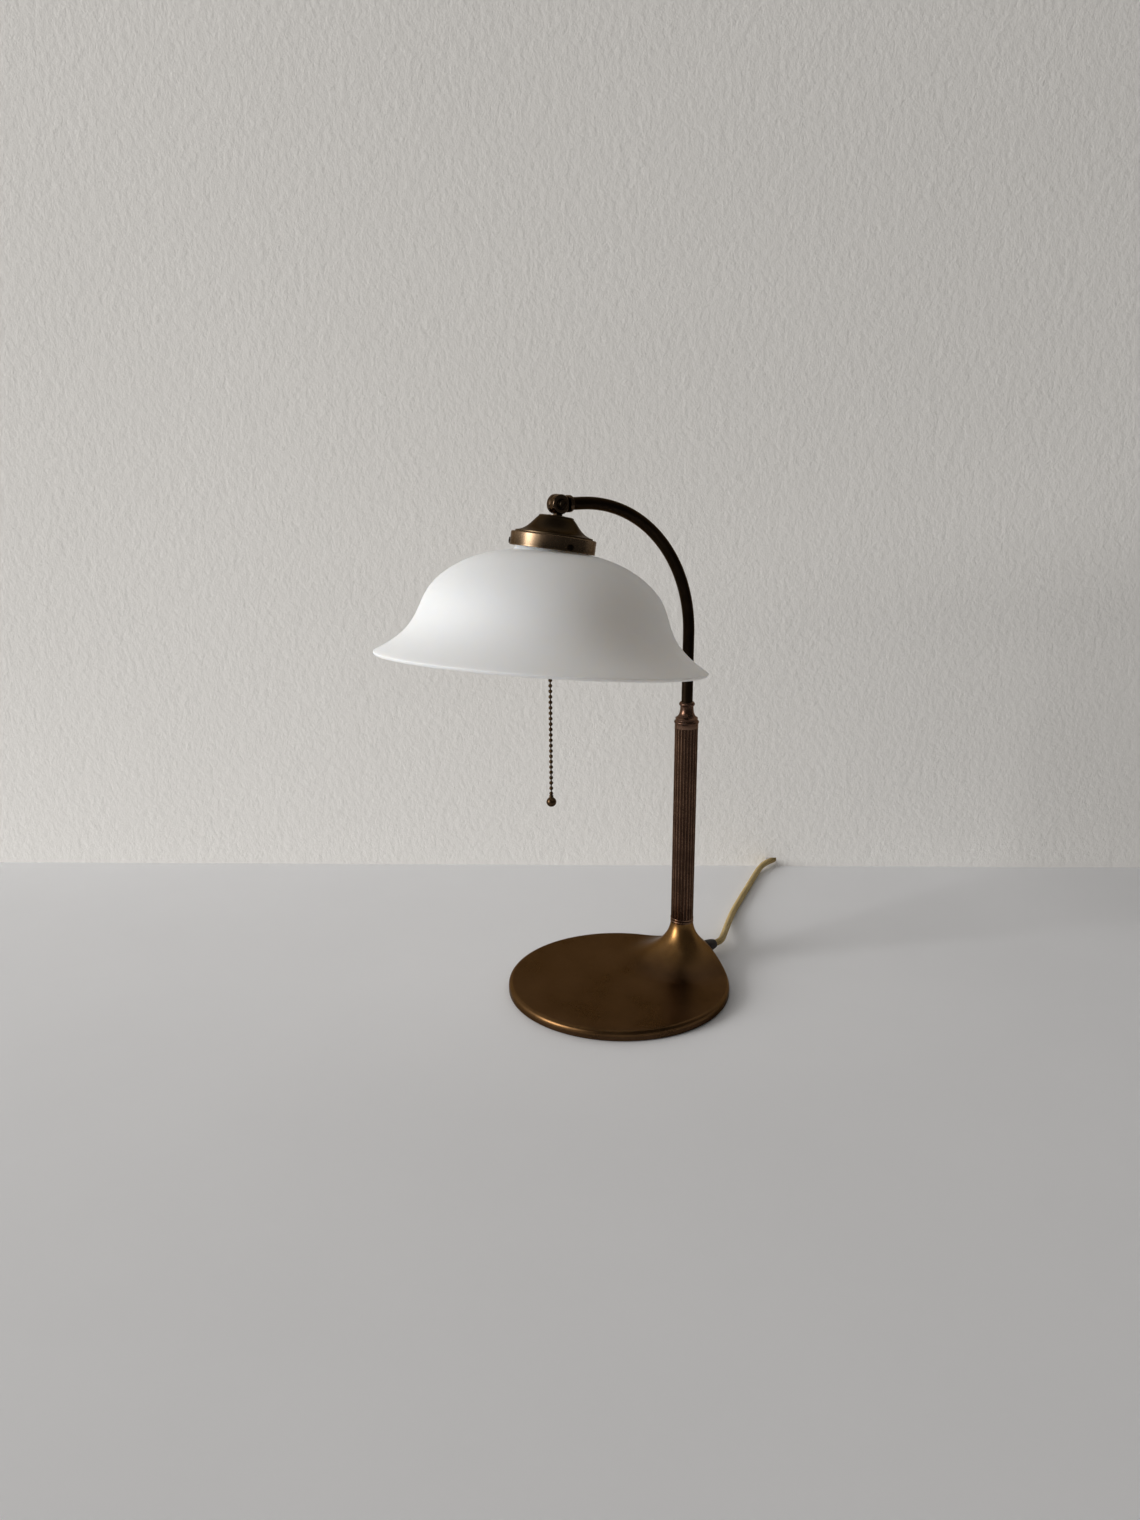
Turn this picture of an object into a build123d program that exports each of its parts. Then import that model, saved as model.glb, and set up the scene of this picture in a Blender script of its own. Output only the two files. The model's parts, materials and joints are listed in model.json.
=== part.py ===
"""Art deco table lamp: eccentric foot, fluted column, curved arm, tilting opal glass shade with a pull chain.

Sizes are in millimetres. The origin is the middle of the foot on the table, +Z is up, the stem stands
towards +X and the arm reaches towards -X.
"""
import os
from math import cos, hypot, pi, radians, sin, tan

from build123d import *

# Driving sizes
foot_radius = 100.0
foot_rim_height = 9.5
stem_x = 75.0
horn_height = 46.0
column_radius = 10.4
column_length = 187.0
arm_height = 432.9
arm_bend_radius = 115.0
tube_radius = 5.0
pivot_x = -63.8
gallery_radius = 33.8
gallery_tilt = 9.8
glass_tilt = 7.2
glass_roll = 2.7
glass_radius = 133.0
glass_height = 92.0
cord_radius = 3.25

# Clearances
fit_gap = 0.05
running_gap = 0.05
face_gap = 0.1
free_gap = 0.3
pick_tolerance = 0.01

# Foot
foot_wall = 3.2
foot_edge_round = 1.6
foot_lift = 0.8
felt_thickness = 1.6
foot_side_wall = 7.0
horn_spread = 60.0
horn_waist_radius = 12.0
horn_waist_drop = 20.0
horn_toe_radius = 36.0
pocket_radius = 15.0
pocket_top = 18.0
nut_pocket_radius = 12.0
nut_pocket_top = 28.0
weight_notch_radius = 20.0

# Column and tie tube
tie_bore_radius = 3.75
tie_bottom = 21.5
tie_top_in_collar = 5.0
washer_radius = 10.0
washer_thickness = 1.5
tie_nut_flats = 14.0
tie_nut_height = 4.0
foot_ring_height = 4.5
foot_ring_radius = 10.7
foot_ring_groove = 0.5
column_bore_radius = 6.5
flute_count = 22
flute_radius = 1.25
flute_depth = 0.7
collar_height = 23.6
collar_web = 2.0
collar_band_radius = 10.5
collar_band_height = 4.0
collar_bead_radius = 11.2
collar_bead_height = 2.6
collar_groove_height = 2.8
collar_groove_depth = 0.6
collar_step = 0.4
collar_hollow_radius = 9.4
collar_hollow_bend = 1.6
collar_neck_radius = 5.9
collar_lip_radius = 7.1
collar_lip_height = 4.0

# Knuckle
tube_bore_radius = 3.75
knuckle_radius = 7.75
knuckle_half_width = 5.4
knuckle_round = 1.4
knuckle_bridge_half = 4.6
ferrule_radius = 6.7
ferrule_start = 8.2
ferrule_length = 3.9
ferrule_stop = 0.8
ferrule_chamfer = 0.7
wire_bore_radius = 1.8
wire_groove_inner = 3.4
wire_groove_outer = 6.2
wire_groove_depth = 2.6
screw_shank_radius = 2.0
screw_head_radius = 3.4
screw_head_height = 1.9
screw_slot_width = 0.8
screw_slot_depth = 0.9
screw_slot_turn = 35.0
knuckle_washer_radius = 4.4
knuckle_washer_thickness = 0.8
knuckle_nut_flats = 7.0
knuckle_nut_height = 3.0
neck_radius = 3.2
neck_web_width = 5.6
neck_web_depth = 3.6
neck_top = 8.2
neck_flange_radius = 6.4
neck_flange_height = 0.5
stub_radius = 5.0
stub_bore_radius = 2.4
stub_in_holder = 4.8

# Gallery, measured down the gallery's own axis from the pivot
bell_top = 9.2
bell_wall = 1.2
bell_top_radius = 14.0
bell_corner = 1.4
bell_lip_radius = 30.7
bell_lip_depth = 24.4
bell_waist_out = 4.2
bell_waist_drop = 3.6
bell_lip_reach = 9.7
bell_lip_rise = 1.6
ring_wall = 1.0
ring_height = 11.0
ring_corner = 0.8
gallery_nut_flats = 14.0
gallery_nut_height = 3.2
gallery_screw_count = 3
gallery_screw_angle = -101.5
gallery_screw_depth = 32.2
gallery_screw_radius = 1.25
gallery_screw_head_radius = 2.4
gallery_screw_head_height = 0.9
gallery_screw_slot = 0.6
gallery_slot_turn = 25.0

# Glass, which hangs a little askew and off centre in its gallery, measured down its own axis from its seat
glass_seat_depth = 30.9
glass_shift_out = -2.1
glass_shift_side = 1.9
glass_wall = 3.0
glass_neck_radius = 26.8
glass_lip_radius = 28.6
glass_lip_top = -3.3
glass_lip_bottom = -1.9
glass_neck_bottom = 4.8
glass_neck_flare = 1.6
glass_crown_radius = 58.8
glass_crown_depth = 8.6
glass_shoulder_radius = 91.9
glass_shoulder_depth = 27.0
glass_dome_radius = 97.7
glass_dome_depth = 51.8
glass_waist_out = 5.0
glass_waist_drop = 12.5
glass_flare_radius = 104.8
glass_flare_depth = 75.8
glass_rim_round = 1.2

# Lampholder and lamp, measured down the gallery's axis from the pivot
holder_top = 29.2
holder_boss_radius = 8.0
holder_boss_height = 2.0
holder_dome_in = 4.0
holder_dome_rise = 3.0
holder_edge = 1.0
holder_radius = 19.5
holder_wall = 1.5
holder_shoulder = 38.0
holder_seam = 44.0
holder_bottom = 70.0
insert_top = 44.6
insert_floor = 5.0
insert_skirt_wall = 2.2
shell_top = 51.0
shell_bottom = 69.0
thread_radius = 13.5
thread_depth = 0.8
thread_pitch = 3.6
thread_wall = 0.5
thread_root_share = 0.15
thread_crest_share = 0.4
contact_width = 7.0
contact_thickness = 0.8
lead_radius = 1.5
bulb_cap_gap = 0.25
bulb_cap_top = 52.6
bulb_cap_bottom = 73.0
bulb_tip_radius = 4.5
bulb_neck_radius = 12.2
bulb_radius = 22.0
bulb_centre = 95.0

# Pull switch, measured down the gallery's axis from the pivot
pull_offset = 28.5
pull_angle = -119.0
housing_top = 44.0
housing_bottom = 60.0
housing_width = 11.0
housing_depth = 12.6
housing_wall = 1.2
guide_length = 9.0
guide_radius = 3.2
guide_mouth_radius = 4.2
guide_flange_height = 1.4
guide_taper = 1.0
guide_mouth_height = 1.6
guide_mouth_wall = 0.6
rod_radius = 1.3
rod_head_radius = 3.4
rod_head_top = 46.4
rod_head_height = 1.6
rod_end = 71.0
cup_radius = 2.6
cup_height = 3.4
spring_wire_radius = 0.35
spring_radius = 2.4
spring_turns = 6

# Pull chain
bead_radius = 1.6
bead_pitch = 4.4
bead_count = 36
link_radius = 0.55
ball_radius = 4.0
ball_neck_radius = 1.7
ball_neck_height = 1.6

# Cord, plug and coil
gland_height = 11.2
gland_flange_radius = 5.8
gland_shank_radius = 4.5
gland_shank_length = 9.0
gland_length = 18.0
gland_barrel_length = 8.0
gland_nose_radius = 4.2
gland_seat = 0.5
lead_bend_radius = 9.0
cord_rest = cord_radius + 0.1
coil_turns = 3
coil_pitch = 7.0
coil_outer_radius = 48.0
coil_lift = 1.2
coil_start = (395.0, 188.0)
coil_heading = 34.0
tie_band = 0.8
tie_width = 5.0
tie_gap = 0.3
tie_side_gap = 1.0
arc_share = 0.45
plug_relief_length = 22.0
plug_relief_radius = 5.0
plug_relief_wall = 0.8
plug_length = 36.0
plug_shoulder = 19.8
plug_width = 35.0
plug_front_width = 26.0
plug_rear_width = 13.0
plug_thickness = 13.6
plug_round = 3.0
pin_radius = 2.0
pin_length = 19.0
pin_spacing = 18.6

# Worked-out places
column_bottom = horn_height + foot_ring_height
column_top = horn_height + column_length
collar_top = column_top + collar_height
tie_top = column_top + tie_top_in_collar
arm_bottom = tie_top + collar_web
bend_bottom = arm_height - arm_bend_radius
bend_end_x = stem_x - arm_bend_radius
arm_end_x = pivot_x + ferrule_start + ferrule_stop
tilt = radians(gallery_tilt)
lean = sin(radians(glass_tilt))
roll = sin(radians(glass_roll))
pivot = Vector(pivot_x, 0, arm_height)
gallery_up = Vector(sin(tilt), 0, cos(tilt))
gallery_out = Vector(cos(tilt), 0, -sin(tilt))
gallery_side = Vector(0, 1, 0)
screw_level = pivot - gallery_up * gallery_screw_depth
glass_up = Vector(lean, roll, (1 - lean**2 - roll**2) ** 0.5)
glass_out = gallery_side.cross(glass_up).normalized()
glass_shift = gallery_out * glass_shift_out + gallery_side * glass_shift_side
glass_origin = pivot - gallery_up * glass_seat_depth + glass_shift
ring_bottom = bell_lip_depth + ring_height

# Working planes: profiles are drawn as (radius, height), cross-sections lie square to the axis
stem_profile = Plane(origin=(stem_x, 0, 0), x_dir=(1, 0, 0), z_dir=(0, -1, 0))
stem_axis = Axis((stem_x, 0, 0), (0, 0, 1))
gallery_profile = Plane(origin=pivot, x_dir=gallery_out, z_dir=(0, -1, 0))
gallery_axis = Axis(pivot, gallery_up)
glass_profile = Plane(origin=glass_origin, x_dir=glass_out, z_dir=glass_out.cross(glass_up))
glass_axis = Axis(glass_origin, glass_up)
knuckle_plane = Plane(origin=pivot, x_dir=(1, 0, 0), z_dir=(0, -1, 0))

os.makedirs("parts", exist_ok=True)


def save(piece, label):
    """Name a finished piece and write it out."""
    piece.part.label = label
    export_step(piece.part, f"parts/{label}.step")


def turned(plane, axis, outline):
    """A solid turned from a closed outline of (radius, height) corners."""
    with BuildPart() as piece:
        with BuildSketch(plane):
            with BuildLine():
                Polyline(*outline, close=True)
            make_face()
        revolve(axis=axis)
    return piece


def hex_nut(plane, flats, height, bore_radius):
    """A hexagon nut that stands on a plane and grows along its normal."""
    with BuildPart() as nut:
        with BuildSketch(plane):
            RegularPolygon(radius=flats / 2, side_count=6, major_radius=False)
            Circle(bore_radius, mode=Mode.SUBTRACT)
        extrude(amount=height)
    return nut


def below(depth):
    """The plane square to the gallery's axis, at a depth below the pivot, facing down."""
    return Plane(origin=pivot - gallery_up * depth, x_dir=gallery_out, z_dir=-gallery_up)


# Foot: a round disc with an eccentric horn that flares out of it, cut off by the disc's own cylinder
with BuildPart() as foot_shell:
    with BuildSketch(Plane.XY.offset(foot_lift)):
        Circle(foot_radius)
    extrude(amount=foot_rim_height - foot_lift)
    with BuildSketch(stem_profile):
        with BuildLine():
            flare = Bezier(
                (column_radius, horn_height),
                (horn_waist_radius, horn_height - horn_waist_drop),
                (horn_toe_radius, foot_rim_height),
                (horn_spread, foot_rim_height),
            )
            Polyline(
                flare @ 1,
                (horn_spread, foot_rim_height / 2),
                (0, foot_rim_height / 2),
                (0, horn_height),
                flare @ 0,
            )
        make_face()
    revolve(axis=stem_axis)
    with BuildSketch(Plane.XY):
        Circle(foot_radius)
    extrude(amount=horn_height, mode=Mode.INTERSECT)
    rim_edges = [
        edge
        for edge in foot_shell.edges()
        if abs(hypot(edge.position_at(0.5).X, edge.position_at(0.5).Y) - foot_radius) < pick_tolerance
        and edge.position_at(0.5).Z > foot_rim_height - pick_tolerance
    ]
    fillet(rim_edges, foot_edge_round)
    # Hollow underside, with a pocket under the stem for the tie nut and the cord
    with BuildSketch(Plane.XY):
        Circle(foot_radius - foot_side_wall)
    extrude(amount=foot_rim_height - foot_wall, mode=Mode.SUBTRACT)
    with BuildSketch(Plane.XY):
        with Locations((stem_x, 0)):
            Circle(pocket_radius)
    extrude(amount=pocket_top, mode=Mode.SUBTRACT)
    with BuildSketch(Plane.XY):
        with Locations((stem_x, 0)):
            Circle(nut_pocket_radius)
    extrude(amount=nut_pocket_top, mode=Mode.SUBTRACT)
    with BuildSketch(Plane.XY):
        with Locations((stem_x, 0)):
            Circle(tube_radius + fit_gap)
    extrude(amount=horn_height, mode=Mode.SUBTRACT)
    # Seat and hole of the cord gland in the rear wall
    gland_face_x = foot_radius - gland_seat
    with BuildSketch(Plane(origin=(gland_face_x, 0, gland_height), z_dir=(1, 0, 0))):
        Circle(gland_flange_radius + free_gap)
    extrude(amount=gland_seat * 2, mode=Mode.SUBTRACT)
    with BuildSketch(Plane(origin=(gland_face_x, 0, gland_height), z_dir=(-1, 0, 0))):
        Circle(gland_shank_radius + fit_gap)
    extrude(amount=gland_face_x - stem_x, mode=Mode.SUBTRACT)
save(foot_shell, "foot_shell")

# Iron weight and felt under the foot
weight_radius = foot_radius - foot_side_wall - free_gap
with BuildPart() as foot_weight:
    with BuildSketch(Plane.XY.offset(felt_thickness)):
        Circle(weight_radius)
        with Locations((stem_x, 0)):
            Circle(weight_notch_radius, mode=Mode.SUBTRACT)
    extrude(amount=foot_rim_height - foot_wall - felt_thickness)
save(foot_weight, "foot_weight")

with BuildPart() as foot_felt:
    with BuildSketch(Plane.XY):
        Circle(weight_radius)
    extrude(amount=felt_thickness)
save(foot_felt, "foot_felt")

# Tie tube that clamps the column to the foot, with its washer and nut
tie_tube = turned(stem_profile, stem_axis, [
    (tie_bore_radius, tie_bottom),
    (tube_radius, tie_bottom),
    (tube_radius, tie_top),
    (tie_bore_radius, tie_top),
])
save(tie_tube, "tie_tube")

washer_bottom = nut_pocket_top - washer_thickness
tie_washer = turned(stem_profile, stem_axis, [
    (tube_radius + fit_gap, washer_bottom),
    (washer_radius, washer_bottom),
    (washer_radius, nut_pocket_top),
    (tube_radius + fit_gap, nut_pocket_top),
])
save(tie_washer, "tie_washer")

nut_plane = Plane(origin=(stem_x, 0, washer_bottom - tie_nut_height))
tie_nut = hex_nut(nut_plane, tie_nut_flats, tie_nut_height, tube_radius + fit_gap)
save(tie_nut, "tie_nut")

# Fluted column, standing on a grooved ring
ring_middle = horn_height + foot_ring_height / 2
column_foot_ring = turned(stem_profile, stem_axis, [
    (column_bore_radius, horn_height),
    (foot_ring_radius, horn_height),
    (foot_ring_radius, ring_middle - foot_ring_groove),
    (foot_ring_radius - foot_ring_groove, ring_middle),
    (foot_ring_radius, ring_middle + foot_ring_groove),
    (foot_ring_radius, column_bottom),
    (column_bore_radius, column_bottom),
])
save(column_foot_ring, "column_foot_ring")

with BuildPart() as fluted_column:
    with BuildSketch(Plane.XY.offset(column_bottom)):
        with Locations((stem_x, 0)):
            Circle(column_radius)
            Circle(column_bore_radius, mode=Mode.SUBTRACT)
            with PolarLocations(column_radius + flute_radius - flute_depth, flute_count):
                Circle(flute_radius, mode=Mode.SUBTRACT)
    extrude(amount=column_top - column_bottom)
save(fluted_column, "fluted_column")

# Turned collar: a plain band, a bead, a hollow neck and a lip round the arm
with BuildPart() as column_collar:
    with BuildSketch(stem_profile):
        with BuildLine():
            band_top = column_top + collar_band_height
            bead_top = band_top + collar_bead_height
            neck_foot = bead_top + collar_groove_height
            neck_end = collar_top - collar_lip_height
            groove_radius = collar_band_radius - collar_groove_depth
            bead = ThreePointArc(
                (collar_band_radius, band_top),
                (collar_bead_radius, (band_top + bead_top) / 2),
                (collar_band_radius, bead_top),
            )
            hollow = Bezier(
                (collar_hollow_radius, neck_foot),
                (collar_neck_radius + collar_hollow_bend / 2, neck_foot + collar_hollow_bend),
                (collar_neck_radius, (neck_foot + neck_end) / 2),
                (collar_neck_radius, neck_end),
            )
            lip = ThreePointArc(
                (collar_neck_radius, neck_end),
                (collar_lip_radius, (neck_end + collar_top) / 2),
                (collar_neck_radius, collar_top),
            )
            Polyline(
                bead @ 1,
                (groove_radius, bead_top + collar_step),
                (groove_radius, neck_foot - 2 * collar_step),
                (groove_radius + collar_step, neck_foot - collar_step),
                hollow @ 0,
            )
            Polyline(
                lip @ 1,
                (tube_radius + fit_gap, collar_top),
                (tube_radius + fit_gap, arm_bottom),
                (tie_bore_radius, arm_bottom),
                (tie_bore_radius, tie_top),
                (tube_radius + fit_gap, tie_top),
                (tube_radius + fit_gap, column_top),
                (collar_band_radius, column_top),
                bead @ 0,
            )
        make_face()
    revolve(axis=stem_axis)
save(column_collar, "column_collar")

# Arm: one bent tube, upright out of the collar and over to the knuckle
with BuildPart() as arm_tube:
    with BuildLine():
        rise = Line((stem_x, 0, arm_bottom), (stem_x, 0, bend_bottom))
        bend = ThreePointArc(
            rise @ 1,
            (
                bend_end_x + arm_bend_radius * cos(pi / 4),
                0,
                bend_bottom + arm_bend_radius * sin(pi / 4),
            ),
            (bend_end_x, 0, arm_height),
        )
        Line(bend @ 1, (arm_end_x, 0, arm_height))
    with BuildSketch(Plane(origin=(stem_x, 0, arm_bottom))):
        Circle(tube_radius)
        Circle(tube_bore_radius, mode=Mode.SUBTRACT)
    sweep()
save(arm_tube, "arm_tube")

# Knuckle, arm half: a half barrel behind the middle plane and the ferrule that takes the tube
far_face = knuckle_plane.offset(-knuckle_half_width)
with BuildPart() as knuckle_arm_half:
    with BuildSketch(far_face):
        Circle(knuckle_radius)
    extrude(amount=knuckle_half_width - face_gap)
    fillet(knuckle_arm_half.edges().filter_by(GeomType.CIRCLE).sort_by(Axis.Y)[-1], knuckle_round)
    with BuildSketch(far_face.offset(knuckle_round)):
        with Locations((ferrule_start / 2, 0)):
            Rectangle(ferrule_start, knuckle_bridge_half * 2)
    extrude(amount=knuckle_half_width - knuckle_round - face_gap)
    with BuildSketch(Plane(origin=pivot, z_dir=(1, 0, 0)).offset(ferrule_start)):
        Circle(ferrule_radius)
    extrude(amount=ferrule_length)
    ferrule_rim = knuckle_arm_half.edges().filter_by(GeomType.CIRCLE).sort_by(Axis.X)[-1]
    chamfer(ferrule_rim, ferrule_chamfer)
    with BuildSketch(Plane(origin=(arm_end_x, 0, arm_height), z_dir=(1, 0, 0))):
        Circle(tube_radius + fit_gap)
    extrude(amount=ferrule_length, mode=Mode.SUBTRACT)
    with BuildSketch(Plane(origin=(arm_end_x, 0, arm_height), z_dir=(-1, 0, 0))):
        with Locations((0, wire_bore_radius + face_gap)):
            Circle(wire_bore_radius)
    extrude(amount=ferrule_stop + ferrule_start - wire_groove_outer + face_gap, mode=Mode.SUBTRACT)
    with BuildSketch(knuckle_plane.offset(-face_gap)):
        Circle(wire_groove_outer)
        Circle(wire_groove_inner, mode=Mode.SUBTRACT)
    extrude(amount=-wire_groove_depth, mode=Mode.SUBTRACT)
    with BuildSketch(far_face):
        Circle(screw_shank_radius + fit_gap)
    extrude(amount=knuckle_half_width, mode=Mode.SUBTRACT)
save(knuckle_arm_half, "knuckle_arm_half")

# Knuckle, shade half: the near half barrel, a slim neck and the threaded stub that carries the gallery
stub_end = holder_top + stub_in_holder
web_bottom = bell_top - neck_flange_height / 2
wire_groove_middle = (wire_groove_inner + wire_groove_outer) / 2
with BuildPart() as knuckle_shade_half:
    with BuildSketch(knuckle_plane.offset(face_gap)):
        Circle(knuckle_radius)
    extrude(amount=knuckle_half_width - face_gap)
    fillet(knuckle_shade_half.edges().filter_by(GeomType.CIRCLE).sort_by(Axis.Y)[0], knuckle_round)
    with BuildSketch(gallery_profile.offset(face_gap)):
        with Locations((0, -web_bottom / 2)):
            Rectangle(neck_web_width, web_bottom)
    extrude(amount=neck_web_depth)
    with BuildSketch(gallery_profile):
        with BuildLine():
            Polyline(
                (0, -neck_top),
                (neck_radius, -neck_top),
                (neck_radius, -bell_top + neck_flange_height),
                (neck_flange_radius, -bell_top + neck_flange_height),
                (neck_flange_radius, -bell_top),
                (stub_radius, -bell_top),
                (stub_radius, -stub_end),
                (0, -stub_end),
                close=True,
            )
        make_face()
    revolve(axis=gallery_axis)
    with BuildSketch(below(wire_groove_middle)):
        Circle(wire_bore_radius)
    extrude(amount=bell_top - wire_groove_middle, mode=Mode.SUBTRACT)
    with BuildSketch(below(bell_top)):
        Circle(stub_bore_radius)
    extrude(amount=stub_end - bell_top, mode=Mode.SUBTRACT)
    with BuildSketch(knuckle_plane.offset(face_gap)):
        Circle(wire_groove_outer)
        Circle(wire_groove_inner, mode=Mode.SUBTRACT)
    extrude(amount=wire_groove_depth, mode=Mode.SUBTRACT)
    with BuildSketch(knuckle_plane):
        Circle(screw_shank_radius + running_gap)
    extrude(amount=knuckle_half_width * 2, mode=Mode.SUBTRACT)
save(knuckle_shade_half, "knuckle_shade_half")

# Knuckle screw with its spring washer on the near side and its nut on the far side
head_seat = knuckle_half_width + face_gap + knuckle_washer_thickness
with BuildPart() as knuckle_washer:
    with BuildSketch(knuckle_plane.offset(knuckle_half_width + face_gap)):
        Circle(knuckle_washer_radius)
        Circle(screw_shank_radius + fit_gap, mode=Mode.SUBTRACT)
    extrude(amount=knuckle_washer_thickness)
save(knuckle_washer, "knuckle_washer")

screw_tip = knuckle_half_width + knuckle_nut_height
with BuildPart() as knuckle_screw:
    with BuildSketch(knuckle_plane.offset(-screw_tip)):
        Circle(screw_shank_radius)
    extrude(amount=screw_tip + head_seat)
    with BuildSketch(knuckle_plane.offset(head_seat)):
        Circle(screw_head_radius)
    extrude(amount=screw_head_height)
    head_rim = knuckle_screw.edges().filter_by(GeomType.CIRCLE).sort_by(Axis.Y)[0]
    fillet(head_rim, screw_head_height / 3)
    with BuildSketch(knuckle_plane.offset(head_seat + screw_head_height)):
        Rectangle(screw_head_radius * 3, screw_slot_width, rotation=screw_slot_turn)
    extrude(amount=-screw_slot_depth, mode=Mode.SUBTRACT)
save(knuckle_screw, "knuckle_screw")

nut_seat = knuckle_plane.offset(-knuckle_half_width - knuckle_nut_height)
knuckle_nut = hex_nut(nut_seat, knuckle_nut_flats, knuckle_nut_height, screw_shank_radius + fit_gap)
save(knuckle_nut, "knuckle_nut")

# Gallery bell: spun sheet with a flat top and a hollow flank down to its lip
flank_start = bell_top + bell_corner
flank_end = bell_lip_depth - bell_wall
inner_start = bell_top_radius - bell_wall
with BuildPart() as gallery_bell:
    with BuildSketch(gallery_profile):
        with BuildLine():
            corner = ThreePointArc(
                (bell_top_radius - bell_corner, -bell_top),
                (bell_top_radius - bell_corner * 0.29, -bell_top - bell_corner * 0.29),
                (bell_top_radius, -flank_start),
            )
            flank = Bezier(
                corner @ 1,
                (bell_top_radius + bell_waist_out, -flank_start - bell_waist_drop),
                (bell_lip_radius - bell_lip_reach, -flank_end + bell_lip_rise),
                (bell_lip_radius, -flank_end),
            )
            inside = Bezier(
                (bell_lip_radius - bell_wall, -bell_lip_depth),
                (bell_lip_radius - bell_lip_reach - bell_wall, -bell_lip_depth + bell_lip_rise),
                (inner_start + bell_waist_out, -flank_start - bell_waist_drop - bell_wall / 2),
                (inner_start, -flank_start - bell_wall / 2),
            )
            Polyline(flank @ 1, (bell_lip_radius, -bell_lip_depth), inside @ 0)
            Polyline(
                inside @ 1,
                (inner_start - bell_wall / 2, -bell_top - bell_wall),
                (stub_radius + fit_gap, -bell_top - bell_wall),
                (stub_radius + fit_gap, -bell_top),
                corner @ 0,
            )
        make_face()
    revolve(axis=gallery_axis)
save(gallery_bell, "gallery_bell")


def screw_direction(turn):
    """The way one of the gallery screws points outwards, square to the gallery's axis."""
    angle = radians(gallery_screw_angle + turn * 360 / gallery_screw_count)
    return gallery_out * cos(angle) + gallery_side * sin(angle)


# Gallery ring: a shallow cup under the bell that takes the neck of the glass
ring_inner = gallery_radius - ring_wall
with BuildPart() as gallery_ring:
    with BuildSketch(gallery_profile):
        with BuildLine():
            Polyline(
                (stub_radius + fit_gap, -bell_lip_depth),
                (gallery_radius - ring_corner, -bell_lip_depth),
                (gallery_radius, -bell_lip_depth - ring_corner),
                (gallery_radius, -ring_bottom),
                (ring_inner, -ring_bottom),
                (ring_inner, -bell_lip_depth - ring_wall),
                (stub_radius + fit_gap, -bell_lip_depth - ring_wall),
                close=True,
            )
        make_face()
    revolve(axis=gallery_axis)
    for turn in range(gallery_screw_count):
        outward = screw_direction(turn)
        with BuildSketch(Plane(origin=screw_level, z_dir=outward).offset(ring_inner - ring_wall)):
            Circle(gallery_screw_radius + fit_gap)
        extrude(amount=ring_wall * 3, mode=Mode.SUBTRACT)
save(gallery_ring, "gallery_ring")

gallery_nut_seat = bell_lip_depth + ring_wall
gallery_nut = hex_nut(
    below(gallery_nut_seat),
    gallery_nut_flats,
    gallery_nut_height,
    stub_radius + fit_gap,
)
save(gallery_nut, "gallery_nut")

# Three slotted screws through the ring that grip the neck of the glass
with BuildPart() as gallery_screws:
    for turn in range(gallery_screw_count):
        outward = screw_direction(turn)
        screw_line = Plane(origin=screw_level, x_dir=gallery_up, z_dir=outward)
        towards_screw = glass_shift.dot(outward)
        past_screw = glass_shift.dot(screw_line.y_dir)
        shank_start = towards_screw + (glass_neck_radius**2 - past_screw**2) ** 0.5 + free_gap
        head_start = gallery_radius + face_gap / 2
        head_end = head_start + gallery_screw_head_height
        with BuildSketch(screw_line.offset(shank_start)):
            Circle(gallery_screw_radius)
        extrude(amount=head_start - shank_start)
        with BuildSketch(screw_line.offset(head_start)):
            Circle(gallery_screw_head_radius)
        extrude(amount=gallery_screw_head_height)
        with BuildSketch(screw_line.offset(head_end)):
            Rectangle(gallery_screw_head_radius * 3, gallery_screw_slot, rotation=gallery_slot_turn * turn)
        extrude(amount=-gallery_screw_head_height / 2, mode=Mode.SUBTRACT)
save(gallery_screws, "gallery_screws")


def inner_face(outer):
    """Control points of the inner face: each outer one moved in by the wall, square to the outline there."""
    inner = []
    for index, (radius, height) in enumerate(outer):
        before = outer[max(index - 1, 0)]
        after = outer[min(index + 1, len(outer) - 1)]
        run = hypot(after[0] - before[0], after[1] - before[1])
        out = glass_wall * (before[1] - after[1]) / run
        down = glass_wall * (after[0] - before[0]) / run
        inner.append((radius - out, height - down))
    return inner


# Opal glass: a lipped neck, a broad dome and a flared skirt with a melted edge
dome_outer = [
    (glass_neck_radius + glass_neck_flare, -glass_neck_bottom - glass_neck_flare),
    (glass_crown_radius, -glass_crown_depth),
    (glass_shoulder_radius, -glass_shoulder_depth),
    (glass_dome_radius, -glass_dome_depth),
]
skirt_outer = [
    (glass_dome_radius, -glass_dome_depth),
    (glass_dome_radius + glass_waist_out, -glass_dome_depth - glass_waist_drop),
    (glass_flare_radius, -glass_flare_depth),
    (glass_radius, -glass_height),
]
glass_bore = glass_neck_radius - glass_wall
with BuildPart() as glass_shade:
    with BuildSketch(glass_profile):
        with BuildLine():
            dome = Bezier(*dome_outer)
            skirt = Bezier(dome @ 1, *skirt_outer[1:])
            skirt_inside = Bezier(*inner_face(skirt_outer)[::-1])
            dome_inside = Bezier(skirt_inside @ 1, *inner_face(dome_outer)[2::-1])
            Line(skirt @ 1, skirt_inside @ 0)
            Polyline(
                dome_inside @ 1,
                (glass_bore, -glass_neck_bottom - glass_wall / 2),
                (glass_bore, -glass_lip_top),
                (glass_lip_radius, -glass_lip_top),
                (glass_lip_radius, -glass_lip_bottom),
                (glass_neck_radius, -glass_lip_bottom),
                (glass_neck_radius, -glass_neck_bottom),
                dome @ 0,
            )
        make_face()
    revolve(axis=glass_axis)
    rim_circles = glass_shade.edges().filter_by(GeomType.CIRCLE).sort_by(lambda edge: edge.radius)[-2:]
    fillet(rim_circles, glass_rim_round)
save(glass_shade, "glass_shade")

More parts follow.
